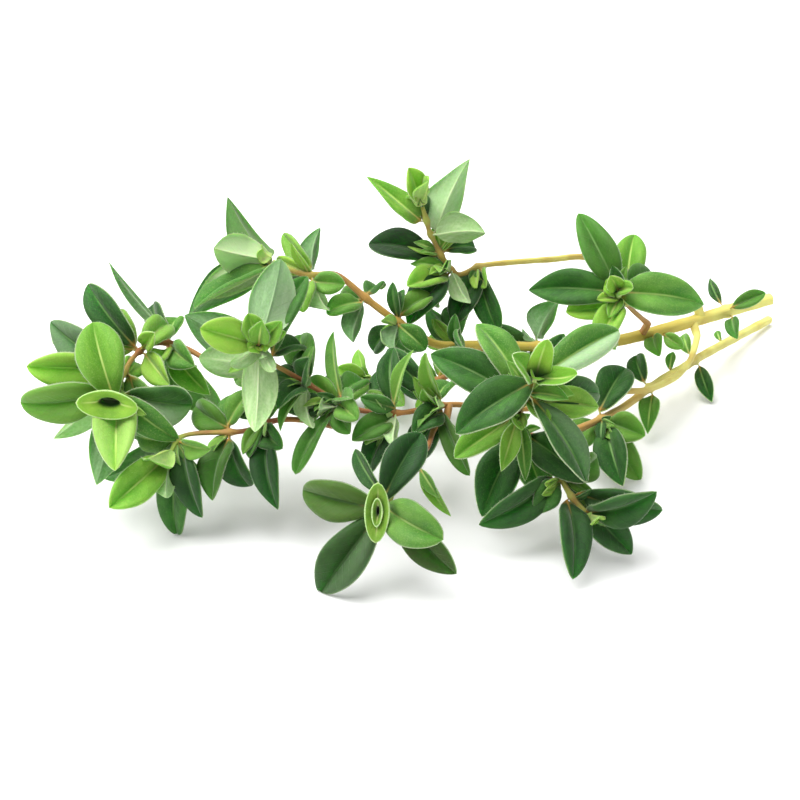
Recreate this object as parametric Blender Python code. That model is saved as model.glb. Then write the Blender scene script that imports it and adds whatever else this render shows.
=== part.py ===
# Thyme bundle: a few leafy sprigs on two cut stems, lying on a flat surface.
# Metres, +Z up, the surface is z = 0. Lengths in the tables below are millimetres,
# headings are degrees from +X towards +Y, and a rise is degrees above the surface.
import math

import bpy
from mathutils import Matrix, Vector
from mathutils.bvhtree import BVHTree

mm = 0.001
gap = 0.3              # left between pieces that grow together in the real bundle
roomAround = 0.25      # least clearance of a leaf from the pieces of other nodes
roomBeside = 0.15      # the same from the leaves of its own node, past where they join
rootShare = 0.3        # the clearance grows from nothing over this share of a leaf's length
joinShare = 0.36       # share of a leaf's length, from its root, that may run into its own node
swingStep = 5          # degrees; a leaf with no room swings by steps of this
swingMost = 30
swingWays = 8
leafSizes = (1.0, 0.85, 0.7, 0.55)   # tried in turn for a leaf that no swing makes room for
liftMost = 60          # degrees that a leaf may be lifted to clear the surface
halvings = 24

stemSides = 8
stemStep = 3.0         # length of a straight facet along a stem
stemTaper = 1.5        # above 1, the cut end keeps its thickness further along
curveStep = 12         # points of the smooth curve between two points of a route
tangentReach = 0.4
collarHeight = 0.7     # ridge round the stem that a pair of leaves grows from
collarWall = 0.4
leafRoot = 0.25        # how far outside the collar's bore a leaf starts
leafHalfLeast = 0.25   # half width of a leaf at its narrowest, where it joins
budLength = 1.3        # closed bud at the end of a stem
budSwell = 0.25        # how much wider the bud is than the stem
# Along the bud: (share of its length, share of its radius)
budProfile = ((0.0, 0.8), (0.45, 1.0), (1.0, 0.35))
tipShare = 0.4         # where along the bud the last leaves grow
tipReach = 0.1
lightFrom = Vector((0.0, -0.8, 0.6))   # leaves turn their upper face this way
datum = Vector((-3.5, -16.2, 0.0))     # moves the middle of the bundle's box to the origin

# How each kind of leaf is shaped: blade thickness, fold of its halves (degrees),
# arch of the midrib (share of the length), and how far it turns to the light.
# A pale or grey leaf shows its underside, so it turns away.
leafKinds = {
    "broad": {"thick": 0.42, "fold": 14, "arch": 0.05, "turn": 1.3},
    "dark": {"thick": 0.42, "fold": 18, "arch": 0.06, "turn": 1.6},
    "young": {"thick": 0.40, "fold": 22, "arch": -0.04, "turn": 0.9},
    "narrow": {"thick": 0.42, "fold": 30, "arch": 0.05, "turn": 1.0},
    "pale": {"thick": 0.40, "fold": 16, "arch": 0.05, "turn": -1.6},
    "grey": {"thick": 0.42, "fold": 20, "arch": 0.07, "turn": -1.6},
}
# Half width along a leaf: (share of the length, share of the half width)
leafOutline = ((0.0, 0.16), (0.13, 0.22), (0.36, 0.84), (0.62, 1.0), (0.87, 0.64))

leafColours = {
    "broad": (0.07, 0.22, 0.04),
    "dark": (0.03, 0.12, 0.02),
    "young": (0.22, 0.42, 0.06),
    "narrow": (0.12, 0.28, 0.06),
    "pale": (0.35, 0.48, 0.22),
    "grey": (0.22, 0.34, 0.2),
}
stemColour = (0.42, 0.26, 0.09)

# Every sprig: the route of its stem from the cut or the fork to its end, the radius there
# and at the end, and its leaves. A leaf is (kind, heading, rise, length, width). "tip" is the
# bud with the leaves crowded round it; every other row is a whorl on a collar, which starts
# with how far along the stem it grows.
sprigs = {
    "centre": {
        "route": ((56, 54, 0.9), (50, 46, 2.2), (44, 37.5, 3.8), (40.5, 32, 4.8), (38.3, 29.2, 5.2),
                  (35.2, 24.6, 5.8), (30, 16.5, 6.8), (23, 8, 8.5), (18, 2.5, 11), (15.5, 0, 14),
                  (15.5, -3, 18.5), (16, -5.5, 21.5), (17, -6.5, 24.5)),
        "radius": (0.62, 0.34),
        "tip": (("young", -35, 25, 6.2, 3.2), ("young", -55, 68, 6.6, 3.4), ("young", -145, 53, 5.8, 3.4),
                ("broad", 34, 15, 13.4, 5.2), ("dark", -163, -28, 12.4, 6.2)),
        "whorls": (
            (80.0, ("broad", 137, 43, 11.2, 4.8), ("dark", -37, -42, 13.4, 4.6)),
            (78.0, ("dark", 162, 24, 13.4, 5.8), ("broad", 4, -8, 10.0, 4.8),
             ("dark", 26, 3, 12.0, 4.6), ("young", 27, -39, 6.6, 3.4)),
            (73.6, ("young", -144, -16, 10.6, 4.4), ("narrow", -111, -34, 8.4, 2.8),
             ("narrow", -83, -37, 9.0, 2.2), ("dark", 45, 50, 12.0, 4.0)),
            (68.1, ("dark", -129, -40, 12.4, 6.0), ("dark", -45, -21, 11.4, 5.6),
             ("broad", -59, -52, 9.2, 4.6), ("dark", 150, 10, 7.0, 4.0)),
            (50.1, ("dark", -78, -24, 10.8, 4.8), ("dark", -40, 4, 7.0, 4.6), ("dark", 65, 22, 9.0, 5.2),
             ("broad", -150, -20, 8.0, 4.6), ("dark", -44, -43, 10.0, 4.8)),
            (36.5, ("narrow", -102, -25, 7.4, 3.2), ("dark", 105, 24, 6.0, 3.4)),
            (23.0, ("dark", -78, -27, 7.0, 2.6), ("narrow", 100, 20, 5.0, 2.4)),
        ),
    },
    "front": {
        "route": ((6, 2, 13.4), (4.5, 1, 13.0), (3.5, -3, 12.5), (0.5, -9.5, 12), (-2, -14.5, 11),
                  (-3, -16, 11)),
        "radius": (0.45, 0.33),
        "tip": (("young", -16, 72, 5.0, 3.6), ("young", -90, -9, 5.0, 3.6), ("broad", 146, 1, 11.2, 5.8),
                ("broad", -31, -3, 9.8, 6.2)),
        "whorls": (
            (19.6, ("broad", -151, -50, 14.0, 6.2), ("dark", 54, 41, 11.0, 5.2)),
            (17.5, ("dark", -36, -42, 12.8, 5.0), ("narrow", 120, 19, 9.0, 2.6)),
            (10.0, ("narrow", -53, -29, 5.6, 1.8), ("narrow", -41, -45, 8.2, 2.0)),
        ),
    },
    "left": {
        "route": ((-8, 4.0, 16.2), (-13, 5.5, 16.2), (-18.5, 7, 16), (-24, 11, 16.5), (-29, 14, 18),
                  (-33, 12.5, 19.5), (-35.5, 7, 20), (-37, 1, 18.5), (-37, -1, 18.5)),
        "radius": (0.5, 0.33),
        "tip": (("young", -141, 15, 5.6, 5.0), ("young", -31, 14, 5.2, 5.0), ("broad", 118, 53, 11.0, 6.6),
                ("young", -85, -31, 9.6, 6.0)),
        "whorls": (
            (41.0, ("broad", -178, -10, 12.8, 6.0), ("dark", 21, -19, 11.2, 6.2),
             ("grey", -112, -62, 12.4, 5.6), ("broad", 29, -61, 8.8, 4.6),
             ("dark", -23, -39, 10.2, 4.4)),
            (37.0, ("dark", 155, 22, 12.4, 5.2), ("pale", -146, -36, 12.8, 4.8),
             ("young", -168, 8, 12.8, 5.2), ("broad", -37, -48, 11.6, 6.0),
             ("dark", 50, -54, 8.0, 4.2), ("broad", 138, -21, 8.0, 4.4),
             ("young", 76, -3, 6.0, 3.6)),
            (32.0, ("dark", 149, 43, 11.4, 4.8), ("young", 115, 27, 5.0, 3.0),
             ("young", 176, 6, 12.0, 4.6), ("broad", 65, 3, 7.0, 4.4), ("young", -60, -12, 7.6, 4.0),
             ("broad", 119, 15, 7.0, 4.2),
             ("young", -55, 47, 5.4, 2.8)),
            (26.0, ("grey", 155, 47, 13.8, 1.8), ("narrow", -39, -36, 9.0, 4.0),
             ("grey", -26, -46, 12.0, 5.6), ("young", -115, 0, 7.0, 4.2), ("broad", 74, 14, 5.4, 3.8),
             ("broad", -60, 0, 6.8, 4.2), ("dark", 45, -50, 7.6, 4.4),
             ("dark", 111, 13, 9.6, 3.8)),
        ),
    },
    "middle": {
        "route": ((42.8, 35.3, 8.3), (42.3, 33.3, 7.6), (41.2, 30.2, 6.8), (38.8, 26.4, 6.4),
                  (34.6, 21.6, 7.2), (31, 18.6, 8.6), (24.5, 14, 10), (16, 8, 12), (6.5, 4, 15),
                  (0, 1, 15.5),
                  (-6.5, 1.5, 16), (-13, 2, 20), (-17, 1.5, 23), (-18, 0, 26), (-18, -1.5, 27)),
        "radius": (0.55, 0.35),
        "tip": (("young", -165, 74, 4.8, 3.2), ("young", -60, 76, 4.8, 3.0), ("young", -158, 28, 8.6, 4.8),
                ("young", -27, 50, 5.6, 3.2)),
        "whorls": (
            (81.8, ("pale", 72, 37, 12.0, 6.4), ("pale", -90, -40, 12.0, 5.0)),
            (77.3, ("grey", 156, 21, 12.8, 6.4), ("pale", -155, 20, 10.4, 4.8),
             ("dark", 64, 44, 12.6, 4.0), ("broad", 166, -38, 6.4, 3.8), ("dark", 50, -8, 7.0, 4.0)),
            (71.3, ("broad", 105, 23, 9.0, 4.8), ("pale", -83, -31, 7.0, 3.0), ("dark", 95, 25, 5.0, 3.2),
             ("narrow", -120, -28, 8.0, 2.4), ("dark", -128, 1, 6.5, 4.2), ("dark", -99, 60, 6.4, 3.6),
             ("dark", 142, -6, 6.4, 3.8), ("dark", 72, -70, 6.4, 3.8)),
            (66.3, ("dark", -120, -23, 11.8, 2.8), ("dark", -74, -23, 5.4, 3.2),
             ("narrow", 98, 29, 11.4, 2.4),
             ("pale", -70, 35, 5.5, 3.0), ("pale", -122, 12, 5.8, 2.8), ("dark", -156, 6, 7.2, 3.6),
             ("dark", 54, 3, 6.4, 4.0), ("broad", 130, 3, 6.4, 3.6), ("broad", -60, 3, 6.0, 3.6)),
            (58.8, ("narrow", 42, 68, 8.8, 2.2), ("pale", -93, -18, 6.4, 2.6),
             ("young", -137, -28, 5.8, 3.4),
             ("dark", 116, 18, 8.0, 3.6), ("dark", 95, 48, 9.0, 3.6), ("dark", -143, -52, 8.8, 4.0),
             ("dark", -165, 26, 5.4, 2.6), ("dark", -158, -11, 6.6, 4.0), ("dark", 133, 7, 5.4, 3.6),
             ("dark", 164, -65, 5.6, 3.6)),
            (52.3, ("dark", -84, -41, 10.6, 3.0), ("narrow", -152, 70, 9.0, 2.6),
             ("dark", 165, 26, 10.4, 4.0),
             ("dark", -135, -5, 6.0, 4.2), ("dark", -151, -65, 8.4, 4.8), ("narrow", -100, 25, 5.6, 2.6),
             ("broad", 64, 3, 5.8, 3.8), ("dark", 50, -57, 6.6, 4.0)),
        ),
    },
    "lower_left": {
        "route": ((-8.5, -0.5, 14.4), (-13, 1, 14.4), (-16.5, 1.5, 14), (-20.5, 0.5, 13),
                  (-28, -0.5, 13), (-30, -2.5, 11.5)),
        "radius": (0.45, 0.33),
        "tip": (("young", -124, -10, 11.6, 5.4), ("pale", -88, -25, 6.4, 3.4),
                ("young", -120, 23, 6.4, 4.2)),
        "whorls": (
            (21.5, ("dark", -66, -50, 10.6, 4.4), ("broad", -108, -68, 13.2, 4.8),
             ("grey", -174, -34, 11.4, 5.2), ("narrow", -41, 9, 6.4, 3.2), ("broad", 130, -12, 6.6, 4.0)),
            (14.5, ("dark", -108, -37, 9.4, 5.0), ("dark", -30, -70, 8.2, 4.8),
             ("dark", 134, 4, 8.0, 4.4), ("broad", 80, 24, 6.4, 3.8), ("broad", 42, 28, 6.4, 3.8)),
            (9.5, ("dark", -87, -35, 12.0, 4.4), ("dark", -70, -22, 6.0, 3.8), ("pale", -80, 25, 5.0, 3.0),
             ("dark", 150, 20, 6.4, 4.0), ("dark", 67, 1, 6.0, 3.8)),
        ),
    },
    "lower_right": {
        "route": ((19.5, 2.5, 7.6), (20, -1, 10), (20.5, -4.5, 10), (22, -8, 8.5), (24, -10, 7)),
        "radius": (0.45, 0.33),
        "tip": (("pale", -22, 28, 4.6, 2.8), ("young", -65, 30, 4.0, 2.4), ("dark", -14, 22, 10.2, 5.2)),
        "whorls": (
            (12.4, ("dark", -18, -8, 11.8, 5.0), ("dark", -28, -29, 11.0, 4.8),
             ("broad", -83, -31, 11.4, 5.0)),
            (9.0, ("dark", -147, -16, 12.6, 5.2), ("dark", 40, 5, 6.6, 4.2), ("dark", -118, -23, 6.6, 3.8)),
        ),
    },
    "upper_right": {
        "route": ((35, 29.9, 13.2), (34, 29, 14.5), (31.5, 25.5, 18.5), (30, 22.5, 22)),
        "radius": (0.45, 0.33),
        "tip": (("young", -117, 53, 4.0, 2.6), ("young", -60, 38, 4.0, 2.6), ("dark", 162, -6, 13.0, 5.4),
                ("broad", 4, -8, 12.4, 6.6)),
        "whorls": (
            (11.5, ("dark", 138, 52, 12.7, 5.0), ("young", -114, -21, 8.6, 4.4), ("dark", 49, 8, 7.0, 4.0)),
            (8.5, ("broad", 77, 36, 11.2, 5.0), ("young", -152, 10, 9.2, 4.6)),
        ),
    },
    "upper_middle": {
        "route": ((42.6, 38.4, 12.9), (39, 38.5, 14.2), (34.5, 38, 16.4), (27, 36, 20.5),
                  (21, 32.5, 22), (14.5, 28.5, 23.5), (11, 26.5, 24), (8, 24, 24), (6, 23.5, 26.5),
                  (5, 23.5, 28.5), (4, 23, 31), (3.5, 23, 33), (3, 23.5, 34.5)),
        "radius": (0.6, 0.33),
        "tip": (("young", -144, 71, 5.6, 3.6), ("young", -57, 75, 5.6, 3.6)),
        "whorls": (
            (50.6, ("young", 160, 38, 10.0, 3.6), ("dark", 105, 15, 6.4, 3.2)),
            (48.4, ("pale", 42, 56, 11.5, 6.4), ("pale", -23, 15, 8.4, 5.2)),
            (44.8, ("dark", 161, 4, 10.6, 4.8), ("dark", 30, -6, 5.8, 3.6)),
            (42.0, ("young", -141, 7, 8.0, 4.4), ("dark", -132, -25, 10.0, 5.2),
             ("pale", -60, -34, 6.0, 3.0), ("dark", 120, -15, 8.0, 4.2),
             ("dark", 121, -66, 8.0, 4.2)),
            (37.0, ("dark", -117, -29, 9.2, 4.6), ("dark", -75, -42, 9.8, 3.8),
             ("broad", 171, -60, 6.4, 3.8),
             ("young", -88, -10, 5.0, 3.2)),
        ),
    },
    "upper_left": {
        "route": ((54.5, 45, 9.2), (50.5, 43, 9.1), (43.5, 38, 9.6), (35.5, 32, 10.5),
                  (28, 26.5, 11.8), (19.5, 22, 13.8), (11, 18.5, 16), (5, 16, 17.5), (0, 15.5, 21),
                  (-4, 16, 24), (-8.5, 17, 27.5), (-12.5, 16, 28), (-17, 17, 29.5)),
        "radius": (0.9, 0.35),
        "tip": (("grey", 122, 24, 11.6, 5.2), ("pale", -147, 24, 9.4, 5.8), ("young", -141, -12, 12.4, 4.8),
                ("pale", -140, -14, 10.6, 5.0), ("grey", -154, -34, 12.8, 5.6)),
        "whorls": (
            (79.0, ("young", 128, 28, 7.8, 3.2), ("grey", 98, 30, 8.4, 3.2), ("pale", -67, -24, 6.4, 4.2),
             ("broad", -106, -17, 6.6, 3.8), ("broad", -33, -24, 5.2, 3.4)),
            (70.5, ("broad", -150, 2, 6.0, 3.8), ("grey", -106, -33, 7.2, 3.6), ("dark", 60, -10, 5.0, 3.4),
             ("broad", 137, -22, 6.4, 3.8)),
            (65.0, ("grey", -93, -15, 6.2, 4.2), ("dark", 38, 1, 7.4, 4.4), ("broad", -30, -30, 5.4, 3.6),
             ("dark", 174, -54, 6.0, 3.8), ("grey", 0, -45, 5.4, 3.6)),
            (55.0, ("dark", -100, 25, 7.5, 4.6), ("dark", 80, 20, 8.0, 4.6),
             ("grey", 150, 40, 7.0, 4.0)),
            (43.0, ("grey", 58, 33, 7.6, 4.6), ("dark", -140, -14, 7.5, 4.4),
             ("dark", 162, 0, 8.0, 4.4)),
            (8.0, ("dark", 106, 23, 7.0, 1.8), ("dark", 10, 22, 6.2, 2.6),
             ("dark", -89, -13, 5.4, 2.6)),
        ),
    },
    "back": {
        "route": ((10.5, 21.0, 13.2), (8.5, 23, 10), (4, 26, 5.5), (0, 28, 4), (-4, 29, 4.4)),
        "radius": (0.45, 0.33),
        "tip": (("young", -160, 30, 5.0, 3.0), ("young", 110, 35, 5.0, 3.0), ("dark", 150, -35, 9.5, 4.6),
                ("dark", -150, -40, 8.5, 4.4)),
        "whorls": (
            (15.0, ("dark", 100, -20, 9.0, 4.6), ("broad", -95, 15, 8.5, 4.4)),
            (9.5, ("broad", 60, 20, 8.0, 4.4), ("dark", -130, 25, 8.0, 4.2)),
        ),
    },
}


def clearScene():
    for thing in list(bpy.data.objects):
        bpy.data.objects.remove(thing, do_unlink=True)


# A smooth curve through the points, as closely spaced points of its own.
def smoothRoute(points):
    knots = [Vector(p) for p in points]
    padded = [2 * knots[0] - knots[1]] + knots + [2 * knots[-1] - knots[-2]]
    curve = []
    for i in range(len(knots) - 1):
        a, b, c, d = padded[i:i + 4]
        for k in range(curveStep):
            t = k / curveStep
            curve.append(0.5 * (2 * b + (c - a) * t + (2 * a - 5 * b + 4 * c - d) * t ** 2
                                + (3 * b - a - 3 * c + d) * t ** 3))
    curve.append(knots[-1])
    return curve


# A stem's centre line, measured along its length.
class Stem:
    def __init__(self, route, radius):
        self.curve = smoothRoute(route)
        self.along = [0.0]
        for a, b in zip(self.curve, self.curve[1:]):
            self.along.append(self.along[-1] + (b - a).length)
        self.length = self.along[-1]
        self.radii = radius

    # The line runs straight on past both its ends.
    def point(self, distance):
        i = 1
        while i < len(self.along) - 1 and self.along[i] < distance:
            i += 1
        share = (distance - self.along[i - 1]) / (self.along[i] - self.along[i - 1])
        return self.curve[i - 1] + (self.curve[i] - self.curve[i - 1]) * share

    def tangent(self, distance):
        return (self.point(distance + tangentReach) - self.point(distance - tangentReach)).normalized()

    def radius(self, distance):
        share = max(0.0, min(1.0, distance / self.length))
        return self.radii[0] + (self.radii[1] - self.radii[0]) * share ** stemTaper


# Points of a circle round an axis, the first of them on the side given.
def ring(centre, axis, radius, side):
    other = axis.cross(side)
    points = []
    for k in range(stemSides):
        angle = 2 * math.pi * k / stemSides
        points.append(centre + radius * (side * math.cos(angle) + other * math.sin(angle)))
    return points


def anySide(axis):
    return axis.to_track_quat("Z", "X") @ Vector((1, 0, 0))


# A closed tube through rings of equal counts, with flat ends.
def tubeMesh(rings):
    sides = len(rings[0])
    verts = [p for r in rings for p in r]
    faces = [tuple(reversed(range(sides)))]
    for i in range(len(rings) - 1):
        for k in range(sides):
            a, b = i * sides + k, i * sides + (k + 1) % sides
            faces.append((a, b, b + sides, a + sides))
    faces.append(tuple(range((len(rings) - 1) * sides, len(rings) * sides)))
    return verts, faces


def stemMesh(stem):
    count = max(2, round(stem.length / stemStep))
    axis = stem.tangent(0.0)
    side = axis.orthogonal().normalized()
    rings = []
    for i in range(count + 1):
        distance = stem.length * i / count
        axis = stem.tangent(distance)
        side = (side - axis * side.dot(axis)).normalized()
        rings.append(ring(stem.point(distance), axis, stem.radius(distance), side))
    return tubeMesh(rings)


# A short ring round the stem, clear of it by the gap.
def collarMesh(stem, distance):
    inner = stem.radius(distance) / math.cos(math.pi / stemSides) + gap
    outer = inner + collarWall
    axis = stem.tangent(distance)
    side = anySide(axis)
    low = stem.point(distance) - axis * collarHeight / 2
    high = stem.point(distance) + axis * collarHeight / 2
    loops = [ring(low, axis, inner, side), ring(low, axis, outer, side),
             ring(high, axis, outer, side), ring(high, axis, inner, side)]
    verts = [p for loop in loops for p in loop]
    faces = []
    for i in range(len(loops)):
        here = i * stemSides
        after = (i + 1) % len(loops) * stemSides
        for k in range(stemSides):
            beside = (k + 1) % stemSides
            faces.append((here + k, here + beside, after + beside, after + k))
    return verts, faces


# A small pointed bud just past the end of the stem.
def budMesh(stem):
    axis = stem.tangent(stem.length)
    side = anySide(axis)
    start = stem.point(stem.length) + axis * gap
    wide = stem.radius(stem.length) + budSwell
    return tubeMesh([ring(start + axis * budLength * share, axis, wide * swell, side)
                     for share, swell in budProfile])


# One leaf: where it starts, which way it points, and which way its upper face looks.
class Leaf:
    def __init__(self, kind, heading, rise, length, width):
        self.kind, self.length, self.width = kind, length, width
        self.shape = leafKinds[kind]
        h, r = math.radians(heading), math.radians(rise)
        self.aim = Vector((math.cos(h) * math.cos(r), math.sin(h) * math.cos(r), math.sin(r)))

    # Sets the leaf on the stem at a distance along it, reach outside its centre line.
    def grow(self, stem, distance, reach):
        axis = stem.tangent(distance)
        out = self.aim - axis * self.aim.dot(axis)
        out.normalize()
        self.root = stem.point(distance) + out * reach
        self.length -= reach * out.dot(self.aim)
        self.axis = axis
        self.face()

    def face(self):
        light = lightFrom - self.aim * lightFrom.dot(self.aim)
        towardsTip = self.axis - self.aim * self.axis.dot(self.aim)
        self.normal = (towardsTip + light * self.shape["turn"]).normalized()
        self.side = self.aim.cross(self.normal)

    # The same leaf, swung about its root and scaled.
    def turned(self, angle, around, size=1.0):
        other = Leaf(self.kind, 0, 0, self.length * size, self.width * size)
        other.aim = (Matrix.Rotation(angle, 3, around) @ self.aim).normalized()
        other.root = self.root
        other.axis = self.axis
        other.face()
        return other

    # The closed blade. extra thickens it to test clearance, start leaves its root out.
    def mesh(self, extra=0.0, start=0.0):
        fold = math.tan(math.radians(self.shape["fold"]))
        outline = [(max(s, start), w) for s, w in leafOutline if s >= start or s == 0.0]
        verts = []
        for s, w in outline:
            grown = extra * min(1.0, s / rootShare)
            half = max(leafHalfLeast, self.width / 2 * w) + grown
            centre = self.spine(s)
            lift = self.normal * (half * fold)
            thick = self.shape["thick"] / 2 + grown
            verts += [centre - self.side * half + lift, centre - self.normal * thick,
                      centre + self.side * half + lift, centre + self.normal * thick]
        verts.append(self.spine(1.0) + self.aim * extra)
        last = len(verts) - 1
        faces = [(3, 2, 1), (3, 1, 0)]
        for i in range(len(outline) - 1):
            for k in range(4):
                a, b = 4 * i + k, 4 * i + (k + 1) % 4
                faces += [(a, b, b + 4), (a, b + 4, a + 4)]
        for k in range(4):
            faces.append((last - 4 + k, last - 4 + (k + 1) % 4, last))
        return verts, faces

    def spine(self, share):
        return (self.root + self.aim * self.length * share
                + self.normal * (self.shape["arch"] * self.length * 4 * share * (1 - share)))

    def lowest(self):
        return min(p.z for p in self.mesh()[0])


def tree(mesh):
    return BVHTree.FromPolygons([tuple(p) for p in mesh[0]], mesh[1])


# A leaf that would reach below the surface is lifted until it lies on it.
def overTable(leaf):
    if leaf.lowest() >= 0.0:
        return leaf
    around = leaf.aim.cross(Vector((0, 0, 1)))
    low = 0.0
    high = math.radians(liftMost)
    for _ in range(halvings):
        middle = (low + high) / 2
        if leaf.turned(middle, around).lowest() < 0.0:
            low = middle
        else:
            high = middle
    return leaf.turned(high, around)


def hasRoom(leaf, node, placed):
    whole = tree(leaf.mesh(extra=roomAround))
    blade = tree(leaf.mesh(extra=roomBeside, start=joinShare))
    return not any((blade if owner == node else whole).overlap(other) for owner, other in placed)


# Swings a leaf by the smallest step that clears every piece placed before it, and makes it
# smaller where no swing does.
def makeRoom(leaf, node, placed):
    for size in leafSizes:
        for step in range(0, swingMost + 1, swingStep):
            for k in range(swingWays if step else 1):
                way = 2 * math.pi * k / swingWays
                turnAxis = leaf.normal * math.cos(way) + leaf.side * math.sin(way)
                trial = overTable(leaf.turned(math.radians(step), turnAxis, size))
                if hasRoom(trial, node, placed):
                    return trial
    raise ValueError("no room for a leaf of " + node)


def makeObject(name, mesh, material):
    verts, faces = mesh
    data = bpy.data.meshes.new(name)
    data.from_pydata([(p + datum) * mm for p in verts], [], faces)
    data.materials.append(material)
    thing = bpy.data.objects.new(name, data)
    bpy.context.scene.collection.objects.link(thing)
    return thing


def makeMaterial(name, colour, roughness):
    material = bpy.data.materials.new(name)
    material.use_nodes = True
    shader = material.node_tree.nodes["Principled BSDF"]
    shader.inputs["Base Color"].default_value = (*colour, 1.0)
    shader.inputs["Roughness"].default_value = roughness
    shader.inputs["Metallic"].default_value = 0.0
    return material


# One solid from meshes that run into each other.
def unite(name, meshes, material):
    body = makeObject(name, meshes[0], material)
    for mesh in meshes[1:]:
        part = makeObject(name + "_joined", mesh, material)
        union = body.modifiers.new("union", "BOOLEAN")
        union.operation = "UNION"
        union.solver = "EXACT"
        union.object = part
        view = bpy.context.evaluated_depsgraph_get()
        merged = bpy.data.meshes.new_from_object(body.evaluated_get(view))
        body.modifiers.remove(union)
        body.data = merged
        bpy.data.objects.remove(part, do_unlink=True)
    body.data.name = name


# A sprig's tip and whorls: the node's name, where it grows, its leaves and what holds them.
def crownsOf(name, sprig, stem):
    tipAt = stem.length + gap + budLength * tipShare
    crowns = [(name + "_tip", tipAt, tipReach, sprig["tip"], budMesh(stem))]
    for number, row in enumerate(sprig["whorls"], 1):
        reach = stem.radius(row[0]) + gap + leafRoot
        crowns.append((name + "_whorl_%d" % number, row[0], reach, row[1:], collarMesh(stem, row[0])))
    return crowns


def growBundle():
    clearScene()
    stemMaterial = makeMaterial("stem", stemColour, 0.6)
    leafMaterials = {kind: makeMaterial("leaf_" + kind, colour, 0.5) for kind, colour in leafColours.items()}
    placed = []
    nodes = []
    grown = []
    for name, sprig in sprigs.items():
        stem = Stem(sprig["route"], sprig["radius"])
        mesh = stemMesh(stem)
        nodes.append((name + "_stem", [mesh], stemMaterial))
        placed.append((name + "_stem", tree(mesh)))
        for crown in crownsOf(name, sprig, stem):
            placed.append((crown[0], tree(crown[-1])))
            grown.append((stem, *crown))
    for stem, node, distance, reach, leaves, holder in grown:
        meshes = [holder]
        for spec in leaves:
            leaf = Leaf(*spec)
            leaf.grow(stem, distance, reach)
            blade = makeRoom(leaf, node, placed).mesh()
            meshes.append(blade)
            placed.append((node, tree(blade)))
        nodes.append((node, meshes, leafMaterials[leaves[0][0]]))
    for node, meshes, material in nodes:
        unite(node, meshes, material)


growBundle()
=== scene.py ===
# Thyme bundle: the leaves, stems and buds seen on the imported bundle, with a floor, light and a camera.
# Places are in millimetres like the bundle's own drawing, and meshes are in metres.
import math
import random

import bpy
import numpy as np
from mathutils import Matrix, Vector


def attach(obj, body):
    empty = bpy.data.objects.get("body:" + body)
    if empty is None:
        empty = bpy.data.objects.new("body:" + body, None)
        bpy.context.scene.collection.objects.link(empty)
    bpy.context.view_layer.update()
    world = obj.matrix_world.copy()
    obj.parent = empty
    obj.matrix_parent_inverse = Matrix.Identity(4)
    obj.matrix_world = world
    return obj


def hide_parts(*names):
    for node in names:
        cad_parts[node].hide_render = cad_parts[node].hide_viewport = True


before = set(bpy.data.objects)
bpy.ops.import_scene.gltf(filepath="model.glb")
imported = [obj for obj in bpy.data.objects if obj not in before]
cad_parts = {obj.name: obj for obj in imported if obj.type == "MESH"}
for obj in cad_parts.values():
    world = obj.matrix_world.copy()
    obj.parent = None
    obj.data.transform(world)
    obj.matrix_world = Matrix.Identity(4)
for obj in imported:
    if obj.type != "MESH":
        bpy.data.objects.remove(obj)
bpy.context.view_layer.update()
mm = 0.001

# The bundle's own drawing: where its sprigs run and which leaves grow on them.
datum = Vector((-3.5, -16.2, 0.0))    # the drawing's origin in the bundle's place
gap = 0.3    # between pieces that grow together in the plant
leafRoot = 0.25    # how far out of a whorl's ridge its leaves start
budLength = 1.3
tipShare = 0.4    # how far up the bud its leaves start
tipReach = 0.1
stemTaper = 1.5
curveStep = 12    # steps between two points of a route
tangentReach = 0.4
leafSizes = (1.0, 0.85, 0.7, 0.55)    # of full size, for leaves with little room
followWithin = 50    # degrees that a packed leaf may have been swung
lightFrom = Vector((0.0, -0.8, 0.6))    # the side that the leaves turned to as they grew

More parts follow.
